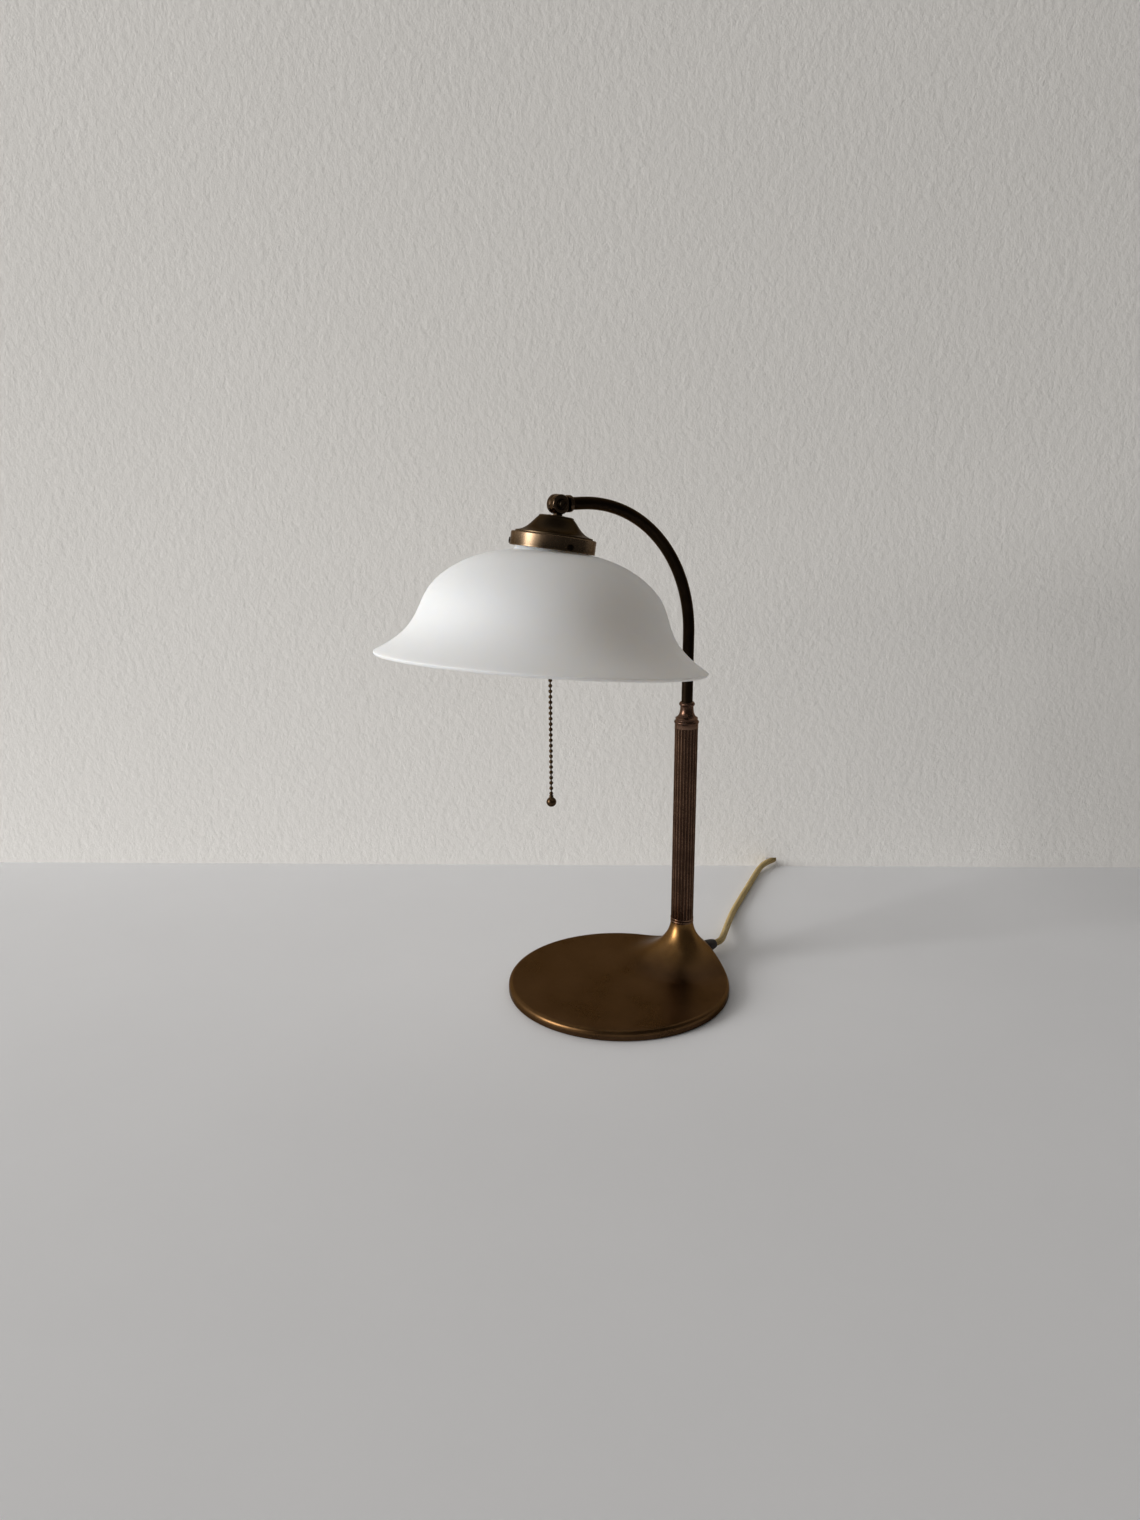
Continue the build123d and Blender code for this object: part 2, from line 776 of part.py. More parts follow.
# Lampholder: domed cap, straight shell, ceramic insert, threaded sleeve and centre contact
with BuildPart() as holder_cap:
    with BuildSketch(gallery_profile):
        with BuildLine():
            dome_edge = holder_radius - holder_dome_in
            dome_level = holder_dome_rise - holder_shoulder
            Polyline(
                (stub_radius + fit_gap, -holder_top),
                (holder_boss_radius, -holder_top),
                (holder_boss_radius, -holder_top - holder_boss_height),
                (dome_edge, dome_level),
                (holder_radius, -holder_shoulder),
                (holder_radius, -holder_seam),
                (holder_radius - holder_wall, -holder_seam),
                (holder_radius - holder_wall, -holder_shoulder - holder_wall / 2),
                (dome_edge - holder_wall / 2, dome_level - holder_wall),
                (stub_radius + fit_gap, -stub_end),
                close=True,
            )
        make_face()
    revolve(axis=gallery_axis)
save(holder_cap, "holder_cap")

holder_shell = turned(gallery_profile, gallery_axis, [
    (holder_radius - holder_wall, -holder_seam),
    (holder_radius, -holder_seam),
    (holder_radius, -holder_bottom + holder_edge),
    (holder_radius - holder_edge, -holder_bottom),
    (holder_radius - holder_wall, -holder_bottom),
])
save(holder_shell, "holder_shell")

insert_radius = holder_radius - holder_wall - free_gap
sleeve_radius = thread_radius + thread_wall
holder_insert = turned(gallery_profile, gallery_axis, [
    (lead_radius + free_gap, -insert_top),
    (insert_radius, -insert_top),
    (insert_radius, -shell_bottom),
    (insert_radius - insert_skirt_wall, -shell_bottom),
    (insert_radius - insert_skirt_wall, -insert_top - insert_floor),
    (lead_radius + free_gap, -insert_top - insert_floor),
])
save(holder_insert, "holder_insert")


def thread_outline(crest, root, top, bottom):
    """Corners of a rounded screw thread, from its top down to its bottom."""
    corners = [(root, -top)]
    waves = int((bottom - top) / thread_pitch)
    for wave in range(waves):
        start = top + wave * thread_pitch
        corners.append((root, -start - thread_pitch * thread_root_share))
        corners.append((crest, -start - thread_pitch * thread_crest_share))
        corners.append((crest, -start - thread_pitch * (1 - thread_crest_share)))
        corners.append((root, -start - thread_pitch * (1 - thread_root_share)))
    corners.append((root, -bottom))
    return corners


outer_wave = thread_outline(sleeve_radius, sleeve_radius - thread_depth, shell_top, shell_bottom)
inner_wave = thread_outline(thread_radius, thread_radius - thread_depth, shell_top, shell_bottom)
thread_sleeve = turned(gallery_profile, gallery_axis, outer_wave + inner_wave[::-1])
save(thread_sleeve, "thread_sleeve")

contact_top = insert_top + insert_floor
with BuildPart() as centre_contact:
    with BuildSketch(below(contact_top)):
        Rectangle(contact_width * 2, contact_width)
        Circle(lead_radius, mode=Mode.SUBTRACT)
    extrude(amount=contact_thickness)
save(centre_contact, "centre_contact")

with BuildPart() as holder_lead:
    with BuildSketch(below(bell_top)):
        Circle(lead_radius)
    extrude(amount=contact_top - bell_top)
save(holder_lead, "holder_lead")

# Small round lamp: threaded cap with its tip, and the glass globe
cap_crest = thread_radius - bulb_cap_gap
cap_root = cap_crest - thread_depth
cap_wave = thread_outline(cap_crest, cap_root, shell_top + thread_pitch, bulb_cap_bottom)
bulb_cap = turned(gallery_profile, gallery_axis, [
    (0, -contact_top - contact_thickness - face_gap),
    (bulb_tip_radius, -contact_top - contact_thickness - face_gap),
    (bulb_tip_radius, -bulb_cap_top),
] + cap_wave + [(0, -bulb_cap_bottom)])
save(bulb_cap, "bulb_cap")

with BuildPart() as bulb_globe:
    with BuildSketch(gallery_profile):
        with BuildLine():
            neck_join = bulb_centre - (bulb_radius**2 - bulb_neck_radius**2) ** 0.5
            globe = ThreePointArc(
                (bulb_neck_radius, -neck_join),
                (bulb_radius, -bulb_centre),
                (0, -bulb_centre - bulb_radius),
            )
            Polyline(globe @ 1, (0, -bulb_cap_bottom), (bulb_neck_radius, -bulb_cap_bottom), globe @ 0)
        make_face()
    revolve(axis=gallery_axis)
save(bulb_globe, "bulb_globe")

# Pull switch: a housing beside the lampholder, a guide tube, the sprung pull rod and its spring
pull_turn = radians(pull_angle)
pull_out = gallery_out * cos(pull_turn) + gallery_side * sin(pull_turn)
pull_line = pivot + pull_out * pull_offset


def pull_plane(depth):
    """The plane square to the pull rod at a depth below the pivot, facing down, with X pointing outwards."""
    return Plane(origin=pull_line - gallery_up * depth, x_dir=pull_out, z_dir=-gallery_up)


housing_shift = pull_offset - holder_radius - housing_depth / 2
with BuildPart() as switch_housing:
    with BuildSketch(pull_plane(housing_top)):
        with Locations((-housing_shift, 0)):
            Rectangle(housing_depth, housing_width)
    extrude(amount=housing_bottom - housing_top)
    with BuildSketch(below(housing_top)):
        Circle(holder_radius + fit_gap)
    extrude(amount=housing_bottom - housing_top, mode=Mode.SUBTRACT)
    with BuildSketch(pull_plane(housing_top + housing_wall)):
        Circle(rod_head_radius + 2 * free_gap)
    extrude(amount=housing_bottom - housing_top - 2 * housing_wall, mode=Mode.SUBTRACT)
    with BuildSketch(pull_plane(housing_top)):
        Circle(rod_radius + free_gap)
    extrude(amount=housing_bottom - housing_top, mode=Mode.SUBTRACT)
save(switch_housing, "switch_housing")

guide_end = housing_bottom + guide_length
with BuildPart() as pull_guide:
    with BuildSketch(Plane(origin=pull_line, x_dir=pull_out, z_dir=pull_out.cross(gallery_up))):
        with BuildLine():
            bore = rod_radius + free_gap
            Polyline(
                (bore, -housing_bottom),
                (guide_mouth_radius, -housing_bottom),
                (guide_mouth_radius, -housing_bottom - guide_flange_height),
                (guide_radius, -housing_bottom - guide_flange_height - guide_taper),
                (guide_radius, -guide_end + guide_mouth_height),
                (guide_mouth_radius, -guide_end),
                (guide_mouth_radius - guide_mouth_wall, -guide_end),
                (bore, -guide_end + guide_mouth_height),
                close=True,
            )
        make_face()
    revolve(axis=Axis(pull_line, gallery_up))
save(pull_guide, "pull_guide")

rod_head_bottom = rod_head_top + rod_head_height
cup_bottom = rod_end + cup_height
with BuildPart() as pull_rod:
    with BuildSketch(pull_plane(rod_head_top)):
        Circle(rod_head_radius)
    extrude(amount=rod_head_height)
    with BuildSketch(pull_plane(rod_head_bottom)):
        Circle(rod_radius)
    extrude(amount=rod_end - rod_head_bottom)
    with BuildSketch(pull_plane(rod_end)):
        Circle(cup_radius)
    extrude(amount=cup_height)
    cup_edge = pull_rod.edges().filter_by(GeomType.CIRCLE).sort_by(Axis.Z)
    fillet([edge for edge in cup_edge if abs(edge.radius - cup_radius) < pick_tolerance][-1], cup_radius / 3)
    with Locations(pull_plane(cup_bottom)):
        Sphere(bead_radius + free_gap, mode=Mode.SUBTRACT)
save(pull_rod, "pull_rod")

spring_start = rod_head_bottom + spring_wire_radius + face_gap
spring_end = housing_bottom - housing_wall - spring_wire_radius - face_gap
with BuildPart() as switch_spring:
    spring_pitch = (spring_end - spring_start) / spring_turns
    with BuildLine():
        wire = Helix(
            pitch=spring_pitch,
            height=spring_end - spring_start,
            radius=spring_radius,
            center=pull_line - gallery_up * spring_start,
            direction=-gallery_up,
        )
    with BuildSketch(Plane(origin=wire @ 0, z_dir=wire % 0)):
        Circle(spring_wire_radius)
    sweep(is_frenet=True)
save(switch_spring, "switch_spring")

# Bead chain, hanging straight down from the cup, and its end ball
hang = pull_line - gallery_up * cup_bottom
chain_plane = Plane(origin=hang, x_dir=(1, 0, 0), z_dir=(0, -1, 0))
chain_axis = Axis(hang, (0, 0, 1))
bead_half = (bead_radius**2 - link_radius**2) ** 0.5
chain_end = (bead_count - 1) * bead_pitch + bead_half
with BuildPart() as pull_chain:
    with BuildSketch(chain_plane):
        with BuildLine():
            bead_arc = ThreePointArc((0, bead_radius), (bead_radius, 0), (link_radius, -bead_half))
            for number in range(1, bead_count):
                middle = -number * bead_pitch
                link = Line(bead_arc @ 1, (link_radius, middle + bead_half))
                bead_arc = ThreePointArc(link @ 1, (bead_radius, middle), (link_radius, middle - bead_half))
            Polyline(bead_arc @ 1, (0, -chain_end), (0, bead_radius))
        make_face()
    revolve(axis=chain_axis)
save(pull_chain, "pull_chain")

ball_centre = chain_end + ball_neck_height + ball_radius
with BuildPart() as pull_ball:
    with BuildSketch(chain_plane):
        with BuildLine():
            neck_join = ball_centre - (ball_radius**2 - ball_neck_radius**2) ** 0.5
            ball = ThreePointArc(
                (ball_neck_radius, -neck_join),
                (ball_radius, -ball_centre),
                (0, -ball_centre - ball_radius),
            )
            Polyline(ball @ 1, (0, -chain_end), (ball_neck_radius, -chain_end), ball @ 0)
        make_face()
    revolve(axis=chain_axis)
save(pull_ball, "pull_ball")

# Cord gland in the rear wall of the foot
gland_end = gland_face_x + gland_length
with BuildPart() as cord_gland:
    with BuildSketch(Plane(origin=(0, 0, gland_height), x_dir=(1, 0, 0), z_dir=(0, -1, 0))):
        with BuildLine():
            nose = TangentArc(
                (gland_face_x + gland_barrel_length, gland_flange_radius),
                (gland_end, gland_nose_radius),
                tangent=(1, 0),
            )
            Polyline(
                nose @ 1,
                (gland_end, cord_radius + fit_gap),
                (gland_face_x - gland_shank_length, cord_radius + fit_gap),
                (gland_face_x - gland_shank_length, gland_shank_radius),
                (gland_face_x, gland_shank_radius),
                (gland_face_x, gland_flange_radius),
                nose @ 0,
            )
        make_face()
    revolve(axis=Axis((0, 0, gland_height), (1, 0, 0)))
save(cord_gland, "cord_gland")

# Cord inside the lamp, from the gland up the column and along the arm to the ferrule
with BuildPart() as inner_cord:
    with BuildLine():
        entry = Line((gland_end, 0, gland_height), (stem_x + lead_bend_radius, 0, gland_height))
        turn_up = ThreePointArc(
            entry @ 1,
            (
                stem_x + lead_bend_radius * (1 - sin(pi / 4)),
                0,
                gland_height + lead_bend_radius * (1 - cos(pi / 4)),
            ),
            (stem_x, 0, gland_height + lead_bend_radius),
        )
        climb = Line(turn_up @ 1, (stem_x, 0, bend_bottom))
        over = ThreePointArc(
            climb @ 1,
            (
                bend_end_x + arm_bend_radius * cos(pi / 4),
                0,
                bend_bottom + arm_bend_radius * sin(pi / 4),
            ),
            (bend_end_x, 0, arm_height),
        )
        Line(over @ 1, (arm_end_x + face_gap, 0, arm_height))
    with BuildSketch(Plane(origin=(gland_end, 0, gland_height), z_dir=(-1, 0, 0))):
        Circle(cord_radius)
    sweep()
save(inner_cord, "inner_cord")


def route_radii(points):
    """Largest tangent arc that each inner point of a route allows."""
    radii = []
    for before, here, after in zip(points, points[1:], points[2:]):
        run_in = Vector(here) - Vector(before)
        run_out = Vector(after) - Vector(here)
        half_turn = radians(run_in.get_angle(run_out)) / 2
        radii.append(arc_share * min(run_in.length, run_out.length) / tan(half_turn))
    return radii


def cord_tube(points):
    """A round cord along a route of straight runs and tangent arcs."""
    radii = route_radii(points)
    print("cord radii", [round(radius) for radius in radii])
    first_run = Vector(points[1]) - Vector(points[0])
    with BuildPart() as tube:
        with BuildLine() as route:
            FilletPolyline(*points, radius=radii)
        with BuildSketch(Plane(origin=points[0], z_dir=first_run)):
            Circle(cord_radius)
        sweep()
    length = route.wire().length
    section = pi * cord_radius**2
    print("cord length", round(length), "volume ratio", round(tube.part.volume / (length * section), 3))
    return tube


# Coil of spare cord: half turns that spiral in on the table, climb, and spiral out on top
coil_low = cord_rest + coil_lift
coil_high = coil_low + coil_pitch
forward = Vector(cos(radians(coil_heading)), sin(radians(coil_heading)), 0)
inward = Vector(sin(radians(coil_heading)), -cos(radians(coil_heading)), 0)


def coil_place(across, along, height):
    """A point of the coil: across from its start towards its middle, along its first direction, and up."""
    flat = Vector(coil_start[0], coil_start[1], 0) + inward * across + forward * along
    return flat + Vector(0, 0, height)


def coil_half_turns():
    """Every half turn as (start across, end across, start height, end height, side)."""
    turns = []
    here = 0.0
    side = 1
    radius = coil_outer_radius
    for _ in range(2 * coil_turns):
        there = here + side * 2 * radius
        turns.append((here, there, coil_low, coil_low, side))
        here = there
        side = -side
        radius -= coil_pitch / 2
    there = here + side * 2 * radius
    turns.append((here, there, coil_low, coil_high, side))
    here = there
    side = -side
    for _ in range(2 * coil_turns - 1):
        radius += coil_pitch / 2
        there = here + side * 2 * radius
        turns.append((here, there, coil_high, coil_high, side))
        here = there
        side = -side
    return turns


def coil_point(half_turn, share):
    """A point at a share of one half turn."""
    here, there, low, high, side = half_turn
    radius = abs(there - here) / 2
    middle = (here + there) / 2
    across = middle - side * radius * cos(pi * share)
    along = side * hypot(radius, (high - low) / 2) * sin(pi * share)
    return coil_place(across, along, low + (high - low) * (1 - cos(pi * share)) / 2)


half_turns = coil_half_turns()
coil_straight = 2 * cord_radius
with BuildPart() as cord_coil:
    with BuildLine() as coil_path:
        Line(coil_place(0, -coil_straight, coil_low), coil_place(0, 0, coil_low))
        for half_turn in half_turns:
            if half_turn[2] == half_turn[3]:
                ThreePointArc(coil_point(half_turn, 0), coil_point(half_turn, 0.5), coil_point(half_turn, 1))
            else:
                climb_start = coil_point(half_turn, 0)
                climb_end = coil_point(half_turn, 1)
                quarter = coil_point(half_turn, 0.5)
                TangentArc(climb_start, quarter, tangent=forward * half_turn[4])
                TangentArc(quarter, climb_end, tangent=climb_end - climb_start)
        Line(coil_place(0, 0, coil_high), coil_place(0, coil_straight, coil_high))
    with BuildSketch(Plane(origin=coil_place(0, -coil_straight, coil_low), z_dir=forward)):
        Circle(cord_radius)
    sweep(path=coil_path.wires()[0])
save(cord_coil, "cord_coil")

coil_length = sum(pi * abs(turn[1] - turn[0]) / 2 for turn in half_turns) + 2 * coil_straight
samples_per_half_turn = 24
neighbour_samples = 12
coil_samples = [
    coil_point(turn, step / samples_per_half_turn)
    for turn in half_turns
    for step in range(samples_per_half_turn)
]
coil_gap = min(
    (here - there).length
    for number, here in enumerate(coil_samples)
    for there in coil_samples[number + neighbour_samples:]
)
print("coil length", round(coil_length), "least gap", round(coil_gap - 2 * cord_radius, 2))

# Free cord from the gland to the coil
cord_points = [
    (gland_end, 0, gland_height),
    (gland_end + 8.5, 0, gland_height),
    (gland_end + 22.5, 11.0, gland_height - 1.6),
    (gland_end + 42.5, 28.0, gland_height - 4.8),
    (180.0, 44.5, cord_rest + 0.9),
    (202.0, 61.3, cord_rest),
    (242.7, 88.2, cord_rest),
    (276.7, 110.6, cord_rest),
    (302.0, 127.2, cord_rest + 0.2),
    (314.0, 133.2, cord_rest + 1.9),
    (326.0, 136.2, cord_rest + 3.3),
    (340.0, 138.4, cord_rest + 2.7),
    (354.0, 147.5, cord_rest + 1.7),
    (364.5, 161.0, cord_rest + 1.2),
    tuple(coil_place(0, -28, coil_low)),
    tuple(coil_place(0, -coil_straight, coil_low)),
]
cord_run = cord_tube(cord_points)
save(cord_run, "cord_run")

# Tail of the cord, off the top of the coil and round to the plug
plug_height = plug_thickness / 2
tail_points = [
    tuple(coil_place(0, coil_straight, coil_high)),
    tuple(coil_place(0, 18, coil_high)),
    tuple(coil_place(-3, 31, coil_high - 1.4)),
    tuple(coil_place(-9, 46, plug_height + 0.8)),
    tuple(coil_place(-20, 58, plug_height)),
    tuple(coil_place(-34, 66, plug_height)),
    tuple(coil_place(-48, 70, plug_height)),
]
cord_tail = cord_tube(tail_points)
save(cord_tail, "cord_tail")

# Tie round the side of the coil where all its turns run side by side
band_middle = coil_outer_radius
band_outer = coil_outer_radius - coil_pitch / 2
band_inner = band_outer - (coil_turns - 1) * coil_pitch
band_across = band_outer - band_inner + 2 * (cord_radius + tie_side_gap)
band_high = coil_high - coil_low + 2 * (cord_radius + tie_gap)
band_centre = coil_place(band_middle, -(band_outer + band_inner) / 2, (coil_low + coil_high) / 2)
with BuildPart() as cord_tie:
    with BuildSketch(Plane(origin=band_centre, x_dir=forward, z_dir=inward)):
        RectangleRounded(band_across + 2 * tie_band, band_high + 2 * tie_band, cord_radius)
        RectangleRounded(band_across, band_high, cord_radius - tie_band, mode=Mode.SUBTRACT)
    extrude(amount=tie_width / 2, both=True)
save(cord_tie, "cord_tie")

# Flat two-pin plug lying beside the coil
plug_run = Vector(tail_points[-1]) - Vector(tail_points[-2])
plug_frame = Plane(origin=tail_points[-1], x_dir=(plug_run.X, plug_run.Y, 0), z_dir=(0, 0, 1))
plug_front = plug_relief_length + plug_length
with BuildPart() as plug_body:
    with BuildSketch(plug_frame.offset(-plug_thickness / 2)):
        with BuildLine():
            Polyline(
                (plug_relief_length, plug_rear_width / 2),
                (plug_relief_length + plug_shoulder, plug_width / 2),
                (plug_front, plug_front_width / 2),
                (plug_front, -plug_front_width / 2),
                (plug_relief_length + plug_shoulder, -plug_width / 2),
                (plug_relief_length, -plug_rear_width / 2),
                close=True,
            )
        make_face()
    extrude(amount=plug_thickness)
    fillet(plug_body.edges().filter_by(Axis.Z), plug_round)
    with BuildSketch(plug_frame):
        with BuildLine():
            Polyline(
                (0, 0),
                (0, cord_radius + plug_relief_wall),
                (plug_relief_length + plug_round, plug_relief_radius),
                (plug_relief_length + plug_round, 0),
                close=True,
            )
        make_face()
    revolve(axis=Axis(plug_frame.origin, plug_frame.x_dir))
save(plug_body, "plug_body")

pin_plane = Plane(origin=plug_frame.origin, x_dir=plug_frame.y_dir, z_dir=plug_frame.x_dir)
with BuildPart() as plug_pins:
    with BuildSketch(pin_plane.offset(plug_front)):
        with GridLocations(pin_spacing, 0, 2, 1):
            Circle(pin_radius)
    extrude(amount=pin_length)
save(plug_pins, "plug_pins")
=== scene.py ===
"""Looks, light and camera of the art deco table lamp. Lengths are in metres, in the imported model's frame."""
import json

from math import asin, atan2, cos, hypot, pi, radians, sin, sqrt

import bpy
from mathutils import Matrix, Vector


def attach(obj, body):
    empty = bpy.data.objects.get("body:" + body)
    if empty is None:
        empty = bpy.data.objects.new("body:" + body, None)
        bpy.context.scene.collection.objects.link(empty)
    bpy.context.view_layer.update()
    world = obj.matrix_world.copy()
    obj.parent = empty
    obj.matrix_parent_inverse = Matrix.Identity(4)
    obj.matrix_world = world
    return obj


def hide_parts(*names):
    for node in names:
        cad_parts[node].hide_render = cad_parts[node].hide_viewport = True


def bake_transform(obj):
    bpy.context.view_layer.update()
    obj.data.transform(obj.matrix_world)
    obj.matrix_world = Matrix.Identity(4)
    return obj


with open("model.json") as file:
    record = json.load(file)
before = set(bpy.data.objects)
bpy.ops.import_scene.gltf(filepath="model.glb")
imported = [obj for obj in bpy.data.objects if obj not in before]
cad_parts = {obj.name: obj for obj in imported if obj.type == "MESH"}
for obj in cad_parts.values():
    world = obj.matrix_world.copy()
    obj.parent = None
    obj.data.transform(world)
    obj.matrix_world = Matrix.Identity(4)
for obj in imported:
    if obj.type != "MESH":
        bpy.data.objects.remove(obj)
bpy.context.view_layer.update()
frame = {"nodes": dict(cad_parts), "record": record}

# Sizes that the model and the looks share
foot_radius = 0.100
foot_rim_height = 0.0095
foot_lift = 0.0008
foot_side_wall = 0.007
foot_wall = 0.0032
pocket_radius = 0.015
pocket_top = 0.018
nut_pocket_radius = 0.012
nut_pocket_top = 0.028
stem_x = 0.075
horn_height = 0.046
horn_spread = 0.060
column_radius = 0.0104
column_bore = 0.0065
column_bottom = 0.0505
column_top = 0.233
collar_top = 0.2566
tube_radius = 0.005
tube_hole = 0.00505
arm_bottom = 0.240
arm_height = 0.4329
arm_bend_radius = 0.115
arm_end_x = -0.0548
pivot = Vector((-0.0638, 0.0, arm_height))
gallery_tilt = radians(9.8)
glass_tilt = radians(7.2)
glass_roll = radians(2.7)
glass_seat = Vector((-0.0021, 0.0019, -0.0309))
cord_radius = 0.00325
gland_end = 0.1175
gland_height = 0.0112
pull_offset = 0.0285
pull_angle = radians(-119.0)
cup_bottom = 0.0744


def leaning(lean, roll, origin):
    """Frame of a piece whose own axis, its Z, leans by these angles towards X and Y."""
    axis = Vector((sin(lean), sin(roll), sqrt(1 - sin(lean) ** 2 - sin(roll) ** 2)))
    out = Vector((0, 1, 0)).cross(axis).normalized()
    side = axis.cross(out)
    return Matrix((
        (out.x, side.x, axis.x, origin.x),
        (out.y, side.y, axis.y, origin.y),
        (out.z, side.z, axis.z, origin.z),
        (0, 0, 0, 1),
    ))


gallery_place = leaning(gallery_tilt, 0.0, pivot)
glass_place = leaning(glass_tilt, glass_roll, gallery_place @ glass_seat)
stem_place = Matrix.Translation((stem_x, 0, 0))
pull_top = Vector((pull_offset * cos(pull_angle), pull_offset * sin(pull_angle), -cup_bottom))
chain_place = Matrix.Translation(gallery_place @ pull_top)

# Camera at the photograph's place
camera_place = Vector((-0.5875, -0.7431, 0.4794))
camera_heading = radians(54.3)
camera_pitch = radians(15.59)
camera_roll = radians(-0.27)
camera_lens = 26.98
sensor_size = 36.0

look = Vector((
    cos(camera_heading) * cos(camera_pitch),
    sin(camera_heading) * cos(camera_pitch),
    -sin(camera_pitch),
))
level_right = Vector((sin(camera_heading), -cos(camera_heading), 0))
level_up = level_right.cross(look)
right = level_right * cos(camera_roll) + level_up * sin(camera_roll)
up = level_up * cos(camera_roll) - level_right * sin(camera_roll)
camera_data = bpy.data.cameras.new("camera")
camera_data.lens = camera_lens
camera_data.sensor_width = sensor_size
camera_data.sensor_height = sensor_size
camera_data.clip_start = 0.02
camera_data.clip_end = 60
camera = bpy.data.objects.new("camera", camera_data)
camera.matrix_world = Matrix((
    (right.x, up.x, -look.x, camera_place.x),
    (right.y, up.y, -look.y, camera_place.y),
    (right.z, up.z, -look.z, camera_place.z),
    (0, 0, 0, 1),
))
bpy.context.scene.collection.objects.link(camera)
bpy.context.scene.camera = camera


# Shader nodes
def new_material(name):
    """An empty node material with its Principled shader."""
    material = bpy.data.materials.new(name)
    material.use_nodes = True
    tree = material.node_tree
    return material, tree, tree.nodes["Principled BSDF"]


def join(tree, source, target):
    """Link an output socket to an input socket, or set a plain value."""
    if isinstance(source, bpy.types.NodeSocket):
        tree.links.new(source, target)
    else:
        target.default_value = source


def object_coords(tree):
    return tree.nodes.new("ShaderNodeTexCoord").outputs["Object"]


def stretched(tree, vector, scale):
    node = tree.nodes.new("ShaderNodeMapping")
    join(tree, vector, node.inputs["Vector"])
    node.inputs["Scale"].default_value = scale
    return node.outputs["Vector"]


def noise(tree, vector, scale, detail, roughness=0.55):
    node = tree.nodes.new("ShaderNodeTexNoise")
    join(tree, vector, node.inputs["Vector"])
    node.inputs["Scale"].default_value = scale
    node.inputs["Detail"].default_value = detail
    node.inputs["Roughness"].default_value = roughness
    return node.outputs["Fac"]


def maths(tree, operation, first, second=0.0, third=0.0):
    node = tree.nodes.new("ShaderNodeMath")
    node.operation = operation
    join(tree, first, node.inputs[0])
    join(tree, second, node.inputs[1])
    join(tree, third, node.inputs[2])
    return node.outputs[0]


def spread(tree, value, low, high, new_low, new_high):
    """Map a range of a value to another range, clamped."""
    node = tree.nodes.new("ShaderNodeMapRange")
    join(tree, value, node.inputs["Value"])
    node.inputs["From Min"].default_value = low
    node.inputs["From Max"].default_value = high
    node.inputs["To Min"].default_value = new_low
    node.inputs["To Max"].default_value = new_high
    return node.outputs["Result"]


def as_colour(value):
    """A socket as it is, or a plain colour with its alpha."""
    return value if isinstance(value, bpy.types.NodeSocket) else (*value, 1)


def blend_colour(tree, factor, first, second):
    node = tree.nodes.new("ShaderNodeMix")
    node.data_type = "RGBA"
    join(tree, factor, node.inputs["Factor"])
    join(tree, as_colour(first), node.inputs["A"])
    join(tree, as_colour(second), node.inputs["B"])
    return node.outputs["Result"]


def bump(tree, height, strength, distance):
    node = tree.nodes.new("ShaderNodeBump")
    join(tree, height, node.inputs["Height"])
    node.inputs["Strength"].default_value = strength
    node.inputs["Distance"].default_value = distance
    return node.outputs["Normal"]


def named_value(tree, name):
    node = tree.nodes.new("ShaderNodeAttribute")
    node.attribute_name = name
    return node.outputs["Fac"]


def patina_metal(name, dark, light, worn, smooth, rough, cloud_scale=22.0):
    """Old brass: cloudy brown patina, fine specks, hairlines and edges rubbed bright."""
    speck_scale = 900.0
    hair_scale = 1500.0
    wear = 0.8
    material, tree, shader = new_material(name)
    place = object_coords(tree)
    clouds = noise(tree, place, cloud_scale, 6.0, 0.6)
    specks = noise(tree, place, speck_scale, 3.0, 0.6)
    hairs = noise(tree, stretched(tree, place, (1.0, 1.0, 0.06)), hair_scale, 2.0)
    patina = blend_colour(tree, spread(tree, clouds, 0.35, 0.68, 0, 1), dark, light)
    speck_colour = [part * 0.5 for part in dark]
    speckled = blend_colour(tree, spread(tree, specks, 0.55, 0.75, 0, 0.35), patina, speck_colour)
    edge = maths(tree, "MULTIPLY", named_value(tree, "edge"), spread(tree, clouds, 0.3, 0.62, 0.35, 1.0))
    rubbed = maths(tree, "MULTIPLY", edge, spread(tree, specks, 0.3, 0.6, wear * 0.6, wear))
    join(tree, blend_colour(tree, rubbed, speckled, worn), shader.inputs["Base Color"])
    gloss = spread(tree, clouds, 0.3, 0.7, smooth, rough)
    join(tree, maths(tree, "ADD", gloss, spread(tree, specks, 0.4, 0.8, 0, 0.08)), shader.inputs["Roughness"])
    shader.inputs["Metallic"].default_value = 1.0
    shader.inputs["Specular Tint"].default_value = (0.62, 0.53, 0.46, 1)
    relief = maths(tree, "ADD", maths(tree, "MULTIPLY", hairs, 0.4), specks)
    join(tree, bump(tree, relief, 0.1, 0.00006), shader.inputs["Normal"])
    return material


def grained(name, dark, light, scale, rough, relief, depth, metallic=0.0):
    """A plain material with fine grain in its colour, gloss and surface."""
    material, tree, shader = new_material(name)
    place = object_coords(tree)
    grain = noise(tree, place, scale, 5.0, 0.6)
    broad = noise(tree, place, scale / 12, 3.0)
    mixed = maths(tree, "MULTIPLY_ADD", grain, 0.6, maths(tree, "MULTIPLY", broad, 0.4))
    tint = blend_colour(tree, spread(tree, mixed, 0.35, 0.65, 0, 1), dark, light)
    join(tree, tint, shader.inputs["Base Color"])
    join(tree, spread(tree, mixed, 0.3, 0.7, rough * 0.85, rough * 1.15), shader.inputs["Roughness"])
    shader.inputs["Metallic"].default_value = metallic
    join(tree, bump(tree, grain, relief, depth), shader.inputs["Normal"])
    return material


